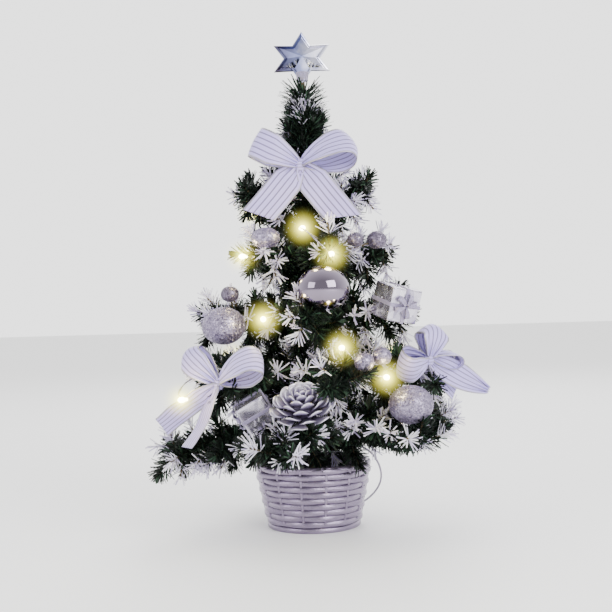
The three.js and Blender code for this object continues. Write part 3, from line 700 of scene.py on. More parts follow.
seed_point = mesh_object("weave_seed", [(0, 0, 0)], [])
wall = grown("pot_weave", seed_point, weave, Finish=metallised_pot)
liner = turned_mm("pot_liner", [(0, 3.2), (39.6, 3.2), (49.6, 58), (48.2, 58), (38.4, 4.3), (0, 4.3)], 96)
rim = turned_mm("pot_rim", [(RIM_MIDDLE + x, RIM_HEIGHT + y) for x, y, _ in circle_points(RIM_ROUND, 14, 0)],
                112, close=True)
foot = turned_mm("pot_foot", [(0, 0), (POT_FOOT - 0.8, 0), (POT_FOOT, 0.8), (POT_FOOT, 4.0), (POT_FOOT - 1.2, 5.2),
                              (FOOT_INSIDE, 5.2), (FOOT_INSIDE, 3.0), (0, 3.0)], 96)
for part in (liner, rim, foot):
    painted(part, metallised_pot)
pot = joined("pot_basket", [wall, liner, rim, foot])
settle(pot, "root", "pot_plastic", "pot")

# %% [markdown]
# ## Plaster and trunk
# Plaster is poured round the trunk and sets with a slightly pitted top. The trunk is a bundle of wires
# wound with tape in a spiral, so its skin is a turned shape whose radius steps with the winding.

# %% Plaster and wrapped trunk
plaster = grained("cast plaster", "#b9b4aa", "#dedad1", 140.0, 6.0, (0.6, 0.0008), Roughness=0.9)
painted(frame["nodes"]["plaster_fill"], plaster)

TRUNK_LOW, TRUNK_HIGH = 10.3 * MM, 411.4 * MM
TRUNK_WIDE, TRUNK_TAPER = 4.95, 2.6     # radius at the foot, and how much of it is lost by the top, in mm
TAPE_PITCH, TAPE_STEP = 7 * MM, 0.35 * MM
points, sides, steps = [], 20, 340
for k in range(steps + 1):
    height = TRUNK_LOW + (TRUNK_HIGH - TRUNK_LOW) * k / steps
    for s in range(sides):
        winding = (height / TAPE_PITCH + s / sides) % 1.0
        radius = (TRUNK_WIDE - TRUNK_TAPER * k / steps) * MM - TAPE_STEP * winding
        points.append(circle_points(radius, sides, height)[s])
trunk = painted(mesh_object("wrapped_trunk", points, tube_faces(steps + 1, sides)), wrapped_wire)
settle(trunk, "root", "wrapped_wire", "trunk")

# %% [markdown]
# ## The star
# A six-pointed star moulded in two shells and vacuum-metallised: a flat bevelled rim and a raised inner
# face. Crisp facets are what make it flash, so it is built from a few flat faces with no smoothing. Its
# tint is painted light, from a smoky painted shade on the left through blue to a nearly white painted
# highlight on the right.

# %% Star and its socket
mirror_plastic, tree, shader = new_finish("vacuum-metallised polystyrene", Metallic=1.0, Roughness=0.11)
place = add_node(tree, "ShaderNodeTexCoord")
cloud = add_node(tree, "ShaderNodeTexNoise", {"Scale": 45.0, "Detail": 3.0, "Vector": place.outputs["Object"]})
across = add_node(tree, "ShaderNodeSeparateXYZ", {0: place.outputs["Object"]})
# Painted light: a ramp across the star adds painted shade on its left and a painted highlight on its right.
fades = add_node(tree, "ShaderNodeMapRange", {"From Min": -26 * MM, "From Max": 22 * MM, "To Min": -0.2,
                                              "To Max": 0.45, "Value": across.outputs["X"]})
painted_side_light = add_node(tree, "ShaderNodeMath", {0: cloud.outputs["Fac"], 1: fades}, operation="ADD")
tint(tree, shader, painted_side_light, {0.25: "#433b50", 0.62: "#8289b4", 1: "#f4f2fb"})

STAR_MIDDLE = 426.8 * MM
STAR_WIDE, STAR_TALL, STAR_INNER = 30.5 * MM, 25 * MM, 0.56
STAR_DEEP = 8.5 * MM        # from the middle plane to the point of each face
CORNERS = 12


def star_ring(size, out):
    ring = []
    for k in range(CORNERS):
        angle = math.radians(90 + 30 * k)
        share = size * (1 if k % 2 == 0 else STAR_INNER)
        ring.append((STAR_WIDE * share * math.cos(angle), out, STAR_MIDDLE + STAR_TALL * share * math.sin(angle)))
    return ring


STAR_STEPS = [(0.97, -1.0), (0.92, -2.2), (0.84, -2.6), (0.80, -1.6), (0.74, -1.9)]
levels = STAR_STEPS + [(size, -out) for size, out in reversed(STAR_STEPS)]
points = [p for size, out in levels for p in star_ring(size, out * MM)]
points += [(0, -STAR_DEEP, STAR_MIDDLE), (0, STAR_DEEP, STAR_MIDDLE)]
faces = []
order = [4, 3, 2, 1, 0, 9, 8, 7, 6, 5]
for k in range(CORNERS):
    after = (k + 1) % CORNERS
    faces += [(a * CORNERS + k, a * CORNERS + after, b * CORNERS + after, b * CORNERS + k)
              for a, b in zip(order, order[1:])]
    faces += [(ring * CORNERS + k, ring * CORNERS + after, len(points) + centre)
              for ring, centre in ((4, -2), (5, -1))]
star = painted(faces_out(mesh_object("star", points, faces, smooth=False)), mirror_plastic)
settle(star, "star", "metallised_plastic", "star_topper")

clear_lilac = grained("translucent polypropylene, lilac tint", "#bdb0cc", "#e6dff0", 90.0, Roughness=0.3, IOR=1.49,
                      Transmission_Weight=0.55)
low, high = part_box("star_socket")
socket = turned("star_cup", [(3.1 * MM, low.z), (4.6 * MM, low.z), (5.0 * MM, low.z + 1 * MM),
                             (5.9 * MM, high.z - 1.2 * MM), (6.3 * MM, high.z - 1 * MM), (6.3 * MM, high.z),
                             (0, high.z), (0, high.z - 1.6 * MM), (3.1 * MM, high.z - 1.6 * MM)], 40)
painted(socket, clear_lilac)
settle(socket, "star", "clear_plastic", "star_socket")

# %% [markdown]
# ## Balls and berries
# One large ball is a thin mirror shell. The others, and the berries, are foam or plastic dipped in glue
# and rolled in glitter. Glitter is real flakes here: Geometry Nodes scatter small tilted plates over
# the surface with a fixed seed, so each one catches the light its own way.

# %% Mirror and glitter finishes
mirror_ball = grained("silvered glass-look shell", "#756b7b", "#938999", 30.0, Metallic=1.0, Roughness=0.07)
lilac_glitter, berry_glitter, dark_glitter = [
    grained(name, dark, pale, 900.0, bump=(0.5, 0.0004), cells=True, Metallic=0.75, Roughness=0.3)
    for name, dark, pale in (("glitter over foam, lilac silver", "#5a5068", "#b4aac4"),
                             ("glitter over berry, lilac silver", "#5a5068", "#b4aac4"),
                             ("glitter over berry, smoky", "#4b4352", "#8d8399"))]

# %% The glitter group
glitter, given, result = new_growth("Glitter flakes", [
    ("Flakes per square metre", "Float", 700000.0), ("Flake size", "Float", 0.95 * MM),
    ("Flake thickness", "Float", 0.28 * MM), ("Tilt", "Float", 0.6), ("Seed", "Int", 1),
    ("Finish", "Material", None)])
spread = add_node(glitter, "GeometryNodeDistributePointsOnFaces", {"Mesh": given["Geometry"],
                                                                   "Density": given["Flakes per square metre"],
                                                                   "Seed": given["Seed"]})
tilt_low = add_node(glitter, "ShaderNodeMath", {1: -1.0, 0: given["Tilt"]}, operation="MULTIPLY")
tilt_x = add_node(glitter, "FunctionNodeRandomValue", {2: tilt_low, 3: given["Tilt"], "Seed": given["Seed"]},
                  data_type="FLOAT")
other_seed = add_node(glitter, "ShaderNodeMath", {1: 13.0, 0: given["Seed"]}, operation="ADD")
tilt_z = add_node(glitter, "FunctionNodeRandomValue", {2: 0.0, 3: math.tau, "Seed": other_seed}, data_type="FLOAT")
tilts = add_node(glitter, "ShaderNodeCombineXYZ", {"X": tilt_x.outputs[1], "Z": tilt_z.outputs[1]})
as_turn = add_node(glitter, "FunctionNodeEulerToRotation", {0: tilts})
turn = add_node(glitter, "FunctionNodeRotateRotation", {0: spread.outputs["Rotation"], 1: as_turn},
                rotation_space="LOCAL")
plate = add_node(glitter, "GeometryNodeMeshCube")
size = add_node(glitter, "ShaderNodeCombineXYZ", {"X": given["Flake size"], "Y": given["Flake size"],
                                                  "Z": given["Flake thickness"]})
laid = add_node(glitter, "GeometryNodeInstanceOnPoints", {"Points": spread.outputs["Points"],
                                                          "Instance": plate.outputs["Mesh"], "Rotation": turn,
                                                          "Scale": size})
real = add_node(glitter, "GeometryNodeRealizeInstances", {0: laid})
dressed = add_node(glitter, "GeometryNodeSetMaterial", {"Geometry": real, "Material": given["Finish"]})
whole = add_node(glitter, "GeometryNodeJoinGeometry", {0: given["Geometry"]})
glitter.links.new(dressed.outputs[0], whole.inputs[0])
glitter.links.new(whole.outputs[0], result)
print("glitter group has", len(glitter.nodes), "nodes")

# %% Turned balls
BALL_SQUASH = 0.86


def egg(name, centre, across, tall, segments=48):
    """A squashed ball round a centre, as wide and tall as given."""
    rings = segments // 2
    profile = [(0, -tall / 2)]
    profile += [(across / 2 * math.cos(a), tall / 2 * math.sin(a))
                for a in (math.radians(-90 + 180 * k / rings) for k in range(1, rings))]
    return moved(turned(name, profile + [(0, tall / 2)], segments), Matrix.Translation(centre))


def ball_cap(name, centre, grip, across):
    """The crimped collar and hanging wire of a ball, aimed at its branch."""
    way = (grip - centre).normalized()
    turn = way.to_track_quat("Z", "Y").to_matrix().to_4x4()
    collar = [(0, 0.40), (0.11, 0.40), (0.125, 0.5), (0.12, 0.57), (0.09, 0.6), (0, 0.6)]
    cup = turned(name + "_cup", [(r * across, z * across) for r, z in collar], 24)
    for vertex in cup.data.vertices:
        if vertex.co.z < 0.55 * across:
            flute = 1 + 0.06 * math.cos(12 * math.atan2(vertex.co.y, vertex.co.x))
            vertex.co.x *= flute
            vertex.co.y *= flute
    moved(cup, Matrix.Translation(centre) @ turn)
    start = centre + way * across * 0.55
    wire = tube(name + "_wire", smooth_line([start, (start + grip) / 2, grip]), 0.7 * MM)
    return painted(joined(name, [painted(cup, mirror_plastic), painted(wire, mirror_plastic)]), mirror_plastic)


BALLS = {   # name: branch, middle along, left and up, width, share of the wire where it hangs, finish
    "chrome_ball": ("3b", (81, 12, 40), 45, 0.72, mirror_ball),
    "glitter_ball_left": ("3a", (88, 29, 11), 38, 0.72, lilac_glitter),
    "glitter_ball_right": ("1c", (116, -6, 32), 38, 0.74, lilac_glitter),
}
for number, (name, (branch, place, across, t, finish)) in enumerate(BALLS.items()):
    centre = on_branch(branch, place)
    grip = branch_frame(branch) @ wire_point(branch, t)
    across *= MM
    shown = name.replace("chrome", "mirror") + "_shell"
    if finish is mirror_ball:
        piece = painted(egg(shown, centre, across, across * BALL_SQUASH, 72), finish)
    else:
        body = painted(egg(shown + "_core", centre, across - 1.0 * MM, across * BALL_SQUASH - 1.0 * MM), finish)
        piece = grown(shown, body, glitter, Seed=number + 2, Finish=finish)
    settle(piece, "limb_" + branch, "mirror_ball" if finish is mirror_ball else "glitter_ball", name)
    cap = ball_cap(name + "_crown", centre, grip, across)
    settle(cap, "limb_" + branch, "metallised_plastic", name + "_cap")

# %% Berries on picks
PICKS = {   # name: branch, share of the wire where it is tied, berries as middle, width and height, finish
    "berry_pick_1": ("4a", 0.8, [((68, 13, 40), 25, 18)], berry_glitter),
    "berry_pick_2": ("3a", 0.7, [((80, 25, 38), 16, 14)], dark_glitter),
    "berry_pick_3": ("4b", 0.75, [((64, 19, 37), 15, 13), ((57, 42, 37), 18, 16)], dark_glitter),
    "berry_pick_4": ("2b", 0.8, [((106, 21, 24), 17, 16), ((101, 37.4, 28), 16, 15)], berry_glitter),
    "berry_pick_5": ("2c", 0.85, [((119, 12, 22), 16, 15)], berry_glitter),
}
for number, (name, (branch, t, berries, finish)) in enumerate(PICKS.items()):
    grip = branch_frame(branch) @ wire_point(branch, t)
    parts = []
    for k, (place, across, tall) in enumerate(berries):
        centre = on_branch(branch, place)
        core = painted(egg(name + "_core", centre, (across - 0.6) * MM, (tall - 0.6) * MM, 28), finish)
        parts.append(grown(name + "_berry", core, glitter, Seed=number * 5 + k, Flake_size=0.7 * MM,
                           Flakes_per_square_metre=900000.0, Finish=finish))
        sag = (centre + grip) / 2 + Vector((0, 0, -2 * MM))
        parts.append(painted(tube(name + "_wire", smooth_line([grip, sag, centre]), 0.8 * MM), wrapped_wire))
    settle(joined(name + "_berries", parts), "limb_" + branch, "glitter_berry", name)

# %% [markdown]
# ## The pine cone
# A real cone, opened and sprayed silver. Its scales sit on a spiral, each turned from the last by the
# golden angle, and they open wider towards the base. That rule is all the Geometry Nodes group needs:
# from a scale's number come its turn, its height, its tilt and its size.

# %% Silvered cone finish
silvered_cone, tree, shader = new_finish("silver spray on open cone scales", Metallic=0.6, Roughness=0.28)
# The tip value paints light: dark at the roots and the heart as painted shade, nearly white at the tips as a painted
# highlight.
edge = add_node(tree, "ShaderNodeAttribute", attribute_name="tip")
place = add_node(tree, "ShaderNodeTexCoord")
grain = add_node(tree, "ShaderNodeTexNoise", {"Scale": 700.0, "Detail": 3.0, "Vector": place.outputs["Object"]})
tint(tree, shader, edge.outputs["Fac"], {0: "#453d50", 0.3: "#a398b8", 1: "#ece8f4"}, (0.3, 0.0004), grain)

# %% One scale
SCALE_ROWS = [(0.0, 2.2, 0.0), (4.2, 4.0, 0.0), (8.8, 6.2, 0.6), (12.6, 7.1, 1.6), (15.2, 5.8, 3.0), (16.8, 2.8, 4.4)]


def cone_scale():
    """One scale, its root at the origin: a spatula that widens, curls up and ends round and thick."""
    section = [(-1, 0), (-0.55, 0.55), (0, 0.8), (0.55, 0.55), (1, 0), (0.5, -0.5), (-0.5, -0.5)]
    points, painted_tip_light = [], []
    for out, half, lift in SCALE_ROWS:
        for across, up in section:
            points.append((out * MM, half * across * MM, (lift + up) * MM))
            # Painted light: the value grows from root to tip as a painted highlight, and is halved on the underside
            # as a painted shade.
            painted_tip_light.append(min(1.0, out / 16.0) ** 2 * (1.0 if up >= 0 else 0.5))
    thing = mesh_object("cone_scale", points, tube_faces(len(SCALE_ROWS), len(section)))
    thing.data.attributes.new("tip", "FLOAT", "POINT").data.foreach_set("value", painted_tip_light)
    return painted(thing, silvered_cone)


# %% The cone group
GOLDEN = math.radians(137.508)
cone, given, result = new_growth("Cone scales", [
    ("Scales", "Int", 52), ("Core radius", "Float", 11 * MM), ("Core height", "Float", 16 * MM),
    ("Lowest opening", "Float", 0.0), ("Closing", "Float", 1.1), ("Smallest", "Float", 0.45),
    ("Scale", "Object", None)])
count_line = add_node(cone, "GeometryNodeMeshLine", {"Offset": (0.0, 0.0, 0.0), "Count": given["Scales"]},
                      mode="OFFSET")
number = add_node(cone, "GeometryNodeInputIndex")
share = add_node(cone, "ShaderNodeMath", {0: number, 1: given["Scales"]}, operation="DIVIDE")
spin = add_node(cone, "ShaderNodeMath", {1: GOLDEN, 0: number}, operation="MULTIPLY")
squared = add_node(cone, "ShaderNodeMath", {1: 2.0, 0: share}, operation="POWER")
inward = add_node(cone, "ShaderNodeMath", {0: 1.0, 1: squared}, operation="SUBTRACT")
radius = add_node(cone, "ShaderNodeMath", {0: given["Core radius"], 1: inward}, operation="MULTIPLY")
height = add_node(cone, "ShaderNodeMath", {0: given["Core height"], 1: share}, operation="MULTIPLY")
cosine = add_node(cone, "ShaderNodeMath", {0: spin}, operation="COSINE")
sine = add_node(cone, "ShaderNodeMath", {0: spin}, operation="SINE")
east = add_node(cone, "ShaderNodeMath", {0: radius, 1: cosine}, operation="MULTIPLY")
north = add_node(cone, "ShaderNodeMath", {0: radius, 1: sine}, operation="MULTIPLY")
spot = add_node(cone, "ShaderNodeCombineXYZ", {0: east, 1: north, 2: height})
laid = add_node(cone, "GeometryNodeSetPosition", {"Geometry": count_line, "Position": spot})
tilt = add_node(cone, "ShaderNodeMath", {0: share, 1: given["Closing"], 2: given["Lowest opening"]},
                operation="MULTIPLY_ADD")
raised = add_node(cone, "ShaderNodeMath", {1: -1.0, 0: tilt}, operation="MULTIPLY")
angles = add_node(cone, "ShaderNodeCombineXYZ", {"Y": raised, "Z": spin})
turn = add_node(cone, "FunctionNodeEulerToRotation", {0: angles})
shrink = add_node(cone, "ShaderNodeMath", {0: 1.0, 1: given["Smallest"]}, operation="SUBTRACT")
less = add_node(cone, "ShaderNodeMath", {0: squared, 1: shrink}, operation="MULTIPLY")
size = add_node(cone, "ShaderNodeMath", {0: 1.0, 1: less}, operation="SUBTRACT")
model = add_node(cone, "GeometryNodeObjectInfo", {"Object": given["Scale"]})
copies = add_node(cone, "GeometryNodeInstanceOnPoints", {"Points": laid, "Instance": model.outputs["Geometry"],
                                                         "Rotation": turn, "Scale": size})
real = add_node(cone, "GeometryNodeRealizeInstances", {0: copies})
cone.links.new(real.outputs[0], result)

# %% Grow the cone
scale_model = cone_scale()
scales = grown("cone_scales", mesh_object("cone_seed", [(0, 0, 0)], []), cone, Scale=scale_model)
bpy.data.objects.remove(scale_model)
heart = painted(turned_mm("cone_heart", [(0, 0), (11, 0.5), (13, 4), (9, 12), (4, 16), (0, 18)], 24), silvered_cone)
# The heart's tip value stays at nothing, so it takes the darkest tint, a painted shade.
heart.data.attributes.new("tip", "FLOAT", "POINT")
pine = joined("silver_pine_cone", [scales, heart])
settle(moved(pine, set_on("1b", (104, 17, 29), 29, "Y")), "limb_1b", "silvered_cone", "pine_cone")

# %% [markdown]
# ## Ribbon bows
# The bows are sheer woven ribbon with pinstripes along it and a wired silver edge. Ribbon cannot
# stretch, so a loop or a tail is a strip that keeps its width where it is open and gathers into pleats
# where the knot pinches it. Its stripes follow the ribbon, so they are drawn on its own uv map.

# %% Ribbon finish
ribbon_finish, tree, shader = new_finish("sheer striped ribbon, lilac with silver edge", Roughness=0.5,
                                         Sheen_Weight=0.35)
along = add_node(tree, "ShaderNodeUVMap")
parts = add_node(tree, "ShaderNodeSeparateXYZ", {0: along})
STRIPES = 6
stripe_way = add_node(tree, "ShaderNodeMath", {1: STRIPES * math.tau, 0: parts.outputs["X"]}, operation="MULTIPLY")
stripe_wave = add_node(tree, "ShaderNodeMath", {0: stripe_way}, operation="COSINE")
stripe = add_node(tree, "ShaderNodeMapRange", {"From Min": 0.55, "From Max": 0.88, "Value": stripe_wave})
from_middle = add_node(tree, "ShaderNodeMath", {1: 0.5, 0: parts.outputs["X"]}, operation="SUBTRACT")
apart = add_node(tree, "ShaderNodeMath", {0: from_middle}, operation="ABSOLUTE")
edge = add_node(tree, "ShaderNodeMapRange", {"From Min": 0.435, "From Max": 0.45, "Value": apart})
threads = add_node(tree, "ShaderNodeTexWave", {"Scale": 700.0, "Distortion": 1.0, "Vector": along},
                   bands_direction="Y")
cloth = add_node(tree, "ShaderNodeMix", {6: colour("#c0b4ee"), 7: colour("#ada0e0"), 0: threads.outputs["Fac"]},
                 data_type="RGBA")
striped = add_node(tree, "ShaderNodeMix", {7: colour("#6f6590"), 0: stripe, 6: cloth.outputs[2]}, data_type="RGBA")
edged = add_node(tree, "ShaderNodeMix", {7: colour("#a8a2b4"), 0: edge, 6: striped.outputs[2]}, data_type="RGBA")
tree.links.new(edged.outputs[2], shader.inputs["Base Color"])
tree.links.new(edge.outputs[0], shader.inputs["Metallic"])
bump = add_node(tree, "ShaderNodeBump", {"Strength": 0.35, "Distance": 0.0002, "Height": stripe_wave})
tree.links.new(bump.outputs["Normal"], shader.inputs["Normal"])

# %% Strips of ribbon
RIBBON_ACROSS = 18      # faces across a strip
RIBBON_THICK = 0.35 * MM
KNOT_SHARE = 0.26       # how narrow the knot pinches a strip


def ribbon_mesh(name, points, faces, marks):
    """A mesh with a uv map: across the ribbon from 0 to 1, and along it in metres."""
    thing = mesh_object(name, points, faces)
    layer = thing.data.uv_layers.new(name="ribbon")
    layer.data.foreach_set("uv", [v for loop in thing.data.loops for v in marks[loop.vertex_index]])
    return thing


def strip(name, line, angle, width, opening, pleat=2.4, cut=0.0, roll=0.0, rounded=0.0):
    """A ribbon strip. Line holds (along, out) points; opening says how wide each point has spread, 0 to 1.
    Angle aims it in the bow's plane and roll turns it about its own length."""
    ahead = Vector((math.cos(angle), 0, math.sin(angle)))
    flat = Vector((-math.sin(angle), 0, math.cos(angle)))
    behind = Vector((0, 1, 0))
    aside = flat * math.cos(roll) + behind * math.sin(roll)
    inward = behind * math.cos(roll) - flat * math.sin(roll)
    tip = max(x for x, _ in line)
    points, marks, far = [], [], 0.0
    for k, ((x, y), spread) in enumerate(zip(line, opening)):
        if k:
            far += math.dist(line[k], line[k - 1])
        half = width / 2 * (KNOT_SHARE + (1 - KNOT_SHARE) * spread)
        for a in range(RIBBON_ACROSS + 1):
            u = 2 * a / RIBBON_ACROSS - 1
            fold = pleat * MM * (1 - spread) * math.cos(u * 3.5 * math.pi)
            fold += 0.45 * MM * spread * math.sin(2.2 * u + far * 210)
            slant = cut * u * max(0.0, 2 * k / (len(line) - 1) - 1)
            bulge = rounded * half * u * u * max(0.0, x / tip) ** 4
            points.append(ahead * (x + slant - bulge) + aside * half * u + inward * (y + fold))
            marks.append(((u + 1) / 2, far))
    columns = RIBBON_ACROSS + 1
    thing = ribbon_mesh(name, points, grid_faces(len(line), columns), marks)
    thing.modifiers.new("Thickness", "SOLIDIFY").thickness = RIBBON_THICK
    return painted(applied(thing), ribbon_finish), far * width


def cubic(a, b, c, d, t):
    return tuple(a[i] * (1 - t) ** 3 + 3 * b[i] * t * (1 - t) ** 2 + 3 * c[i] * t * t * (1 - t) + d[i] * t ** 3
                 for i in (0, 1))


def ribbon_loop(name, length, depth, angle, width, roll=0, rounded=0.0, pleat=2.4):
    """One loop: out along the front, round the end and back behind."""
    front = [cubic((1.5, -0.6), (length * 0.35, -depth * 0.75), (length * 0.95, -depth * 1.05), (length, 0), k / 20)
             for k in range(21)]
    line = [(x * MM, y * MM) for x, y in front]
    line += [(x * MM, -y * MM * 0.8) for x, y in reversed(front[:-1])]
    opening = [min(1.0, max(0.0, x / MM - 2) / (length * 0.55)) ** 0.75 for x, _ in line]
    return strip(name, line, math.radians(angle), width * MM, opening, pleat, roll=math.radians(roll),
                 rounded=rounded)


def ribbon_tail(name, length, drop, angle, width, cut=0.0, roll=0, leaf=False, pleat=2.4):
    """One tail: it leaves the knot gathered, spreads and hangs to a slanted cut end, or closes again as a leaf."""
    line, opening = [], []
    for k in range(31):
        t = k / 30
        out = -(drop * (0.4 * t * (1 - t) + t * t)) - 1.4 * math.sin(t * 2.4 * math.pi) * t
        line.append((length * t * MM, out * MM))
        opening.append(math.sin(math.pi * t ** 0.85) ** 0.8 if 0 < t < 1 and leaf else
                       0.0 if leaf else min(1.0, t / 0.3) ** 0.7)
    return strip(name, line, math.radians(angle), width * MM, opening, pleat, cut * MM, math.radians(roll))


def ribbon_knot(name, wide, tall):
    """The wrapped middle: a pleated band with its stripes running across."""
    rings, around = 10, 36
    points, marks = [], []
    for r in range(rings + 1):
        up = -1 + 2 * r / rings
        swell = math.sqrt(max(0.0, 1 - 0.72 * up * up))
        for a in range(around):
            turn = a * math.tau / around
            flute = 1 + 0.07 * math.cos(9 * turn)
            points.append((wide * swell * flute * math.cos(turn) * MM,
                           wide * 0.8 * swell * flute * math.sin(turn) * MM, tall * up * MM))
            marks.append((0.5 + up * 0.35, a / around * 0.03))
    return painted(ribbon_mesh(name, points, tube_faces(rings + 1, around), marks), ribbon_finish)


# %% Tie the bows
BOWS = {   # name: body, frame, loops, tails, width the ribbon was cut to
    "top_bow": ("root", Matrix.Translation(Vector((-4, -36, 324.7)) * MM),
                [(46, 15, 152, 28, 0, 0.1), (52, 19, 17, 30, 38, 0.25)],
                [(58, 9, 230, 28, -5), (60, 9, 307, 29, 9)], 30),
    "left_bow": ("limb_2a", set_on("2a", (114, 6, 9), 112),
                 [(40, 9, 138, 25, 0, 0.6), (44, 15, 26, 27, 38, 0.2)],
                 [(66, -4, 216, 24, 4, 52), (60, 6, 247, 23, -4, -48)], 26),
    "right_bow": ("limb_2c", set_on("2c", (112, -20, 23), 52),
                  [(31, 14, 188, 27, 36, 0.2), (30, 12, 80, 26, 0, 0.8), (33, 10, -6, 14, 72, 0.0)],
                  [(66, 4, 333, 24, 0, 0, True), (44, -8, 318, 18, -3)], 26),
}
for name, (body, place, loops, tails, cut_width) in BOWS.items():
    strips = [ribbon_loop(f"{name}_loop_{k}", *shape) for k, shape in enumerate(loops)]
    strips += [ribbon_tail(f"{name}_tail_{k}", *shape) for k, shape in enumerate(tails)]
    cloth = moved(joined(name + "_loops", [part for part, _ in strips]), place)
    knot = moved(ribbon_knot(name + "_knot", 4.6, 5.4), place)
    settle(cloth, body, "striped_ribbon", name + "_ribbon")
    settle(knot, body, "striped_ribbon")
    long = sum(area for _, area in strips) / (cut_width * MM)
    print(name, "ribbon", round(long * 1000), "mm long")

# %% [markdown]
# ## Gift boxes
# Two small foam blocks wrapped in foil and crossed by a satin band. The wrap is thin paper with a metal
# skin, so its faces are never quite flat: each is cut into a fine grid and crumpled by a smooth wave.

# %% Foil, satin and wire finishes
foil = grained("foil gift wrap, silver lilac", "#8a829c", "#ece8f4", 190.0, bump=(0.4, 0.0006), cells=True,
               Metallic=0.85, Roughness=0.24)
satin = grained("satin gift band, lilac", "#6f6684", "#a79dc0", 900.0, Roughness=0.34, Sheen_Weight=0.3)
tie_wire = grained("galvanised tie wire", "#8a8a90", "#c4c4ca", 400.0, Metallic=1.0, Roughness=0.35)
for name in BOWS:
    painted(frame["nodes"][name + "_tie"], tie_wire)

# %% Wrap the boxes


def soft_block(name, wide, deep, tall, bevel, cuts=0, crumple=0.0, seed=1):
    """A block with rounded edges; with cuts, its faces are gridded and crumpled."""
    work = bmesh.new()
    bmesh.ops.create_cube(work, size=1.0)
    for vertex in work.verts:
        vertex.co = Vector((vertex.co.x * wide, vertex.co.y * deep, vertex.co.z * tall))
    bmesh.ops.bevel(work, geom=work.edges[:], offset=bevel, segments=2, affect="EDGES", profile=0.5)
    if cuts:
        long_edges = [e for e in work.edges if e.calc_length() > bevel * 3]
        bmesh.ops.subdivide_edges(work, edges=long_edges, cuts=cuts, use_grid_fill=True)
        for vertex in work.verts:
            p = vertex.co * 260
            vertex.co += vertex.co.normalized() * crumple * math.sin(p.x * 1.7 + seed) * math.sin(p.y + p.z * 1.3)
    mesh = bpy.data.meshes.new(name)
    work.to_mesh(mesh)
    work.free()
    mesh.polygons.foreach_set("use_smooth", [crumple > 0] * len(mesh.polygons))
    return placed(name, mesh)


BAND_WIDE, BAND_PROUD = 3 * MM, 1.6 * MM
GIFTS = {   # name: branch, side of the block, middle, turns about X, Y and Z
    "gift_box_right": ("3c", 29, (92, -10, 27), (14, 8, 62)),
    "gift_box_left": ("2a", 26, (86, 19, -15), (30, 20, 40)),
}
for number, (name, (branch, side, place, turns)) in enumerate(GIFTS.items()):
    tip, roll = (Matrix.Rotation(math.radians(a), 4, axis) for a, axis in zip(turns, "XY"))
    posed = set_on(branch, place, turns[2]) @ tip @ roll
    size = side * MM
    block = painted(soft_block(name + "_wrap", size, size, size, 0.9 * MM, 10, 0.28 * MM, number), foil)
    settle(moved(block, posed), "limb_" + branch, "foil_wrap", name)
    outer, band = size + BAND_PROUD, BAND_WIDE
    loops = [soft_block(f"{name}_band_{k}", *sizes, 0.35 * MM)
             for k, sizes in enumerate([(band, outer, outer), (outer, outer, band)])]
    parts = [painted(loop, satin) for loop in loops]
    for k, angle in enumerate((20, 75, 140, 200, 285)):
        knot_loop, _ = ribbon_loop(f"{name}_bow_{k}", side * 0.36, 3.2, angle, 4.2, pleat=0.5)
        lay = Matrix.Translation((0, -outer / 2 - 1.2 * MM, 0))
        parts.append(painted(moved(knot_loop, lay), satin))
    settle(moved(joined(name + "_bands", parts), posed), "limb_" + branch, "gift_band", name + "_ribbon")

# %% [markdown]
# ## The string of lights
# Each light is a small LED under a clear lens on two thin clear-jacketed wires. The lens is modelled and
# lit from inside, and a small warm lamp beside it lights the needles round it. The soft glow that the
# eye sees in the air is a ball of faint haze.

# %% Wire, lens and glow finishes
clear_jacket = grained("clear PVC jacket over tinned wire", "#7f778c", "#b9b1c4", 300.0, Roughness=0.25, IOR=1.52,
                       Transmission_Weight=0.35)

lit_lens, tree, shader = new_finish("LED lens, warm white", Roughness=0.2, Emission_Strength=14.0)
shader.inputs["Base Color"].default_value = colour("#fffbe6")
place = add_node(tree, "ShaderNodeTexCoord")
spark = add_node(tree, "ShaderNodeTexNoise", {"Scale": 500.0, "Vector": place.outputs["Object"]})
warm = add_node(tree, "ShaderNodeMix", {6: colour("#fff7c0"), 7: colour("#fffdf0"), 0: spark.outputs["Fac"]},
                data_type="RGBA")
tree.links.new(warm.outputs[2], shader.inputs["Emission Color"])

GLOW_RADIUS = 22 * MM
CORE_LIGHT, HALO_LIGHT, HALO_TINT = 1000.0, 165.0, 26.0
BULB_LONG = 7 * MM
BULB_WATTS = 0.05


def glow_finish(name, centre):
    """Haze that is brightest at the bulb and fades to nothing at its edge; it also holds back blue."""
    material = bpy.data.materials.new(name)
    material.use_nodes = True
    tree = material.node_tree
    tree.nodes.remove(tree.nodes["Principled BSDF"])
    place = add_node(tree, "ShaderNodeTexCoord")
    away = add_node(tree, "ShaderNodeVectorMath", {1: centre, 0: place.outputs["Object"]}, operation="DISTANCE")
    fade = add_node(tree, "ShaderNodeMapRange", {"From Min": 0.0, "From Max": GLOW_RADIUS, "To Min": 1.0,
                                                 "To Max": 0.0, "Value": away.outputs["Value"]},
                    interpolation_type="SMOOTHSTEP")
    core = add_node(tree, "ShaderNodeMath", {1: 10.0, 0: fade}, operation="POWER")
    halo = add_node(tree, "ShaderNodeMath", {1: 2.2, 0: fade}, operation="POWER")
    faint = add_node(tree, "ShaderNodeMath", {1: HALO_LIGHT, 0: halo}, operation="MULTIPLY")
    light = add_node(tree, "ShaderNodeMath", {1: CORE_LIGHT, 0: core, 2: faint}, operation="MULTIPLY_ADD")
    hold = add_node(tree, "ShaderNodeMath", {1: HALO_TINT, 0: halo}, operation="MULTIPLY")
    shine = add_node(tree, "ShaderNodeEmission", {"Color": colour("#f2ea62"), "Strength": light})
    haze = add_node(tree, "ShaderNodeVolumeAbsorption", {"Color": colour("#ffffb0"), "Density": hold})
    both = add_node(tree, "ShaderNodeAddShader", {0: shine, 1: haze})
    tree.links.new(both.outputs[0], tree.nodes["Material Output"].inputs["Volume"])
    return material


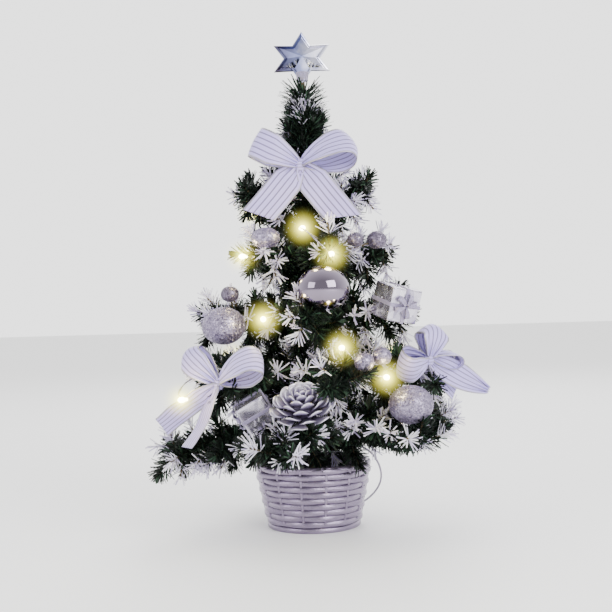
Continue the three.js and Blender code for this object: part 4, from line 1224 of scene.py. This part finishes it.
# %% Lights along the branches
def bulb(name, start, way):
    """A lens 7 mm long with a domed end, on a short sleeve."""
    line = [start - way * 3 * MM] + [start + way * BULB_LONG * k / 8 for k in range(9)]
    radii = [1.3, 1.7, 2.2, 2.4, 2.45, 2.4, 2.3, 1.95, 1.3, 0.3]
    return painted(tube(name, line, [r * MM for r in radii], 14), lit_lens)


def light_run(name, branch, path, bulbs, *nodes):
    """The wire over a branch with its bulbs, the lamp in each bulb and its glow."""
    home = branch_frame(branch)
    above = Vector((0, 0, 10.4 * MM))
    points = [wire_point(branch, t) + above for t in (0.14, 0.3, 0.45, 0.58)]
    points[0].z -= above.z / 2
    points += [Vector(p) * MM for p in path]
    line = [home @ p for p in smooth_line(points, 5)]
    twist = [Vector((math.cos(k * 0.9), math.sin(k * 0.9), 0)) * 0.5 * MM for k in range(len(line))]
    parts = [tube(f"{name}_wire_{side}", [p + t * side for p, t in zip(line, twist)], 0.42 * MM, 6)
             for side in (-1, 1)]
    for part in parts:
        painted(part, clear_jacket)
    way = (home.to_3x3() @ Vector((1, 0, 0))).normalized()
    starts = [home @ (Vector(path[k]) * MM + Vector((-1 * MM, 0, 0))) for k in bulbs]
    parts += [bulb(f"{name}_bulb_{k}", start, way) for k, start in enumerate(starts)]
    piece = settle(joined(name, parts), "limb_" + branch, "clear_cable", *nodes)
    for k, start in enumerate(starts):
        middle = start + way * BULB_LONG / 2
        data = bpy.data.lights.new(f"{name}_lamp_{k}", "POINT")
        data.energy = BULB_WATTS
        data.color = colour("#fff2a8")[:3]
        data.shadow_soft_size = 5 * MM
        lamp = placed(data.name, data)
        lamp.location = middle + Vector((0, -6 * MM, 3 * MM))
        haze = painted(egg(f"{name}_glow_{k}", middle, 2 * GLOW_RADIUS, 2 * GLOW_RADIUS, 24),
                       glow_finish(f"glow {name} {k}", middle))
        for follower in (lamp, haze):
            follower.parent = piece


RUNS = {   # name: branch, path from the branch's top as along, left and up, which points hold a bulb
    "light_loop_1": ("4b", [(59, -28, 47), (70, -27, 43), (77, -18, 32), (76, -9, 24)], (0, 3)),
    "light_loop_2": ("3b", [(84, -38, 16)], (0,)),
    "light_loop_3": ("2b", [(98, 4, 36), (106, 22, 16), (106, 39, 11)], (0, 2)),
    "light_loop_4": ("2a", [(100, -37, 12), (128, -28, 2), (139, -10, -3)], (2,)),
}
for name, (branch, path, bulbs) in RUNS.items():
    light_run(name.replace("loop", "string"), branch, path, bulbs, name)
BACK_RUNS = {
    "light_string_5": ("4a", [(73, -8, 25)], (0,)), "light_string_6": ("1e", [(96, 8, 22)], (0,)),
    "light_string_7": ("2d", [(90, -8, 22)], (0,)), "light_string_8": ("2e", [(88, 10, 24)], (0,)),
    "light_string_9": ("3d", [(74, 6, 24)], (0,)), "light_string_10": ("4d", [(58, -6, 24)], (0,)),
    "light_string_11": ("1d", [(92, 10, 24)], (0,)), "light_string_12": ("5a", [(38, -26, 24)], (0,)),
}
for name, (branch, path, bulbs) in BACK_RUNS.items():
    light_run(name, branch, path, bulbs)

riser_line = []
for k in range(9):
    angle = math.radians(160 + (4 if k % 2 else -4))
    riser_line.append(Vector((6.1 * math.cos(angle), 6.1 * math.sin(angle), 74 + 217 * k / 8)) * MM)
riser = painted(tube("light_riser", smooth_line(riser_line, 4), 0.8 * MM), clear_jacket)
settle(riser, "root", "clear_cable", "light_string_riser")

# %% [markdown]
# ## The lead
# The lead leaves the string at the trunk, drops over the pot's rim behind, lies on the table in a loose
# curve and goes into the battery box.

# %% Lead
LEAD_POINTS = [
    (-7.6, 3.2, 73), (-8.5, 8, 72.5), (-3, 13, 72), (8, 15, 72), (20, 15.5, 71.8), (32, 15, 71),
    (43, 14, 69), (53, 14, 63.5), (60, 16, 54), (63.5, 19, 43.5), (63, 24.5, 33), (58.5, 32, 23),
    (51, 41, 14), (42, 49, 7), (32, 55.5, 2.8), (21, 60.5, 1.1), (12, 65, 1), (8.6, 70, 1),
    (12.5, 74, 1), (22, 73.5, 1), (33, 70.5, 1), (42, 73, 1.2), (46.8, 80, 2.2), (47.2, 88, 4.4),
    (43.5, 94.5, 7), (39, 96.4, 7.9), (34.9, 96.4, 8)]
LEAD_WIDE = 1.8 * MM
lead_line = smooth_line([Vector(p) * MM for p in LEAD_POINTS], 4)
lead_curve = bpy.data.curves.new("battery_lead", "CURVE")
lead_curve.dimensions = "3D"
lead_curve.bevel_depth = LEAD_WIDE / 2
lead_curve.bevel_resolution = 2
lead_curve.use_fill_caps = True
spline = lead_curve.splines.new("POLY")
spline.points.add(len(lead_line) - 1)
spline.points.foreach_set("co", [v for p in lead_line for v in (*p, 1.0)])
lead = painted(placed("battery_lead", lead_curve), clear_jacket)
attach(lead, "root")
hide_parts("light_lead")

# %% [markdown]
# ## The battery box
# A small two-cell box in white moulded plastic. Its solid already has the right walls, lid and switch,
# so those stay and take a finish: fine spark-eroded texture, with no print on the cells.

# %% Battery box finishes
box_plastic = grained("moulded ABS, satin white", "#dcdae0", "#f0eef3", 1500.0, bump=(0.15, 0.0002), Roughness=0.42,
                      IOR=1.53)
switch_plastic = grained("moulded ABS, dark grey", "#3a3a40", "#4c4c54", 1200.0, Roughness=0.5)

cell_jacket, tree, shader = new_finish("printed foil sleeve on a cell", Metallic=0.6, Roughness=0.32)
low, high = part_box("battery_1")
place = add_node(tree, "ShaderNodeTexCoord")
parts = add_node(tree, "ShaderNodeSeparateXYZ", {0: place.outputs["Object"]})
band = add_node(tree, "ShaderNodeMath", {1: high.x - 16 * MM, 0: parts.outputs["X"]}, operation="GREATER_THAN")
sleeve = add_node(tree, "ShaderNodeMix", {6: colour("#2f3d52"), 7: colour("#b98a54"), 0: band}, data_type="RGBA")
tree.links.new(sleeve.outputs[2], shader.inputs["Base Color"])
FINISH_OF = {"battery_case": box_plastic, "battery_cover": box_plastic, "battery_switch": switch_plastic,
             "battery_1": cell_jacket, "battery_2": cell_jacket, "bridge_contact": tie_wire}
for name, finish in FINISH_OF.items():
    painted(frame["nodes"][name], finish)
print("battery box finished:", ", ".join(FINISH_OF))

# %% Springs, grips and seams of the box
SPRING_ROOM, COIL_STEPS, STEPS_A_TURN = 3.6 * MM, 48, 12
cover_low, cover_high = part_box("battery_cover")
for k, cell in enumerate(("battery_1", "battery_2")):
    low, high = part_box(cell)
    middle = (low + high) / 2
    coil = []
    for step in range(COIL_STEPS + 1):
        angle, share = step * math.tau / STEPS_A_TURN, step / COIL_STEPS
        radius = (3.6 - 1.6 * share) * MM
        coil.append(Vector((high.x + 0.5 * MM + SPRING_ROOM * (1 - share), middle.y + radius * math.cos(angle),
                            middle.z + radius * math.sin(angle))))
    spring = painted(tube(f"cell_spring_{k + 1}", coil, 0.28 * MM, 6), tie_wire)
    settle(spring, "root", "contact_steel")
ridges = []
for k in range(7):
    ridge = soft_block(f"cover_ridge_{k}", 1.0 * MM, 14 * MM, 0.7 * MM, 0.2 * MM)
    spot = Vector((cover_low.x + (6 + 2 * k) * MM, (cover_low.y + cover_high.y) / 2, cover_high.z + 0.2 * MM))
    ridges.append(painted(moved(ridge, Matrix.Translation(spot)), box_plastic))
settle(joined("cover_grip", ridges), "cover", "box_plastic")

# %% [markdown]
# ## The light
# A pale floor, a pale sky and three soft lamps make a studio table. The sky is brighter behind the tree
# than in front of it, as a lit backdrop is, so that mirror finishes show shape. The lamps are a large one
# from the right, a smaller one from the left and one from behind to edge the needles.

# %% Floor, sky and lamps
floor_finish, tree, shader = new_finish("pale table board", Roughness=0.6)
shader.inputs["Base Color"].default_value = colour("#ffffff")
floor = mesh_object("floor", [(-8, -8, 0), (8, -8, 0), (8, 8, 0), (-8, 8, 0)], [(0, 1, 2, 3)], smooth=False)
painted(floor, floor_finish)

sky = bpy.data.worlds.new("pale sky")
sky.use_nodes = True
sky.node_tree.nodes["Background"].inputs["Color"].default_value = colour("#ffffff")
looking = add_node(sky.node_tree, "ShaderNodeTexCoord")
parts = add_node(sky.node_tree, "ShaderNodeSeparateXYZ", {0: looking.outputs["Generated"]})
graded = add_node(sky.node_tree, "ShaderNodeMapRange", {"From Min": -0.7, "From Max": 0.7, "To Min": 0.75,
                                                        "To Max": 2.5, "Value": parts.outputs["Y"]})
sky.node_tree.links.new(graded.outputs[0], sky.node_tree.nodes["Background"].inputs["Strength"])
bpy.context.scene.world = sky

LAMPS_AIM = Vector((0, 0, 0.22))
LAMPS = {   # name: place, size, watts
    "right_softbox": ((1.1, -1.4, 1.0), 1.2, 40.0), "left_softbox": ((-1.3, -1.1, 0.8), 0.9, 12.0),
    "back_softbox": ((0.2, 1.4, 1.3), 1.0, 16.0),
}
for name, (spot, size, power) in LAMPS.items():
    data = bpy.data.lights.new(name, "AREA")
    data.size = size
    data.energy = power
    lamp = placed(name, data)
    lamp.location = spot
    lamp.rotation_euler = (LAMPS_AIM - Vector(spot)).to_track_quat("-Z", "Y").to_euler()
print("lamps", list(LAMPS))
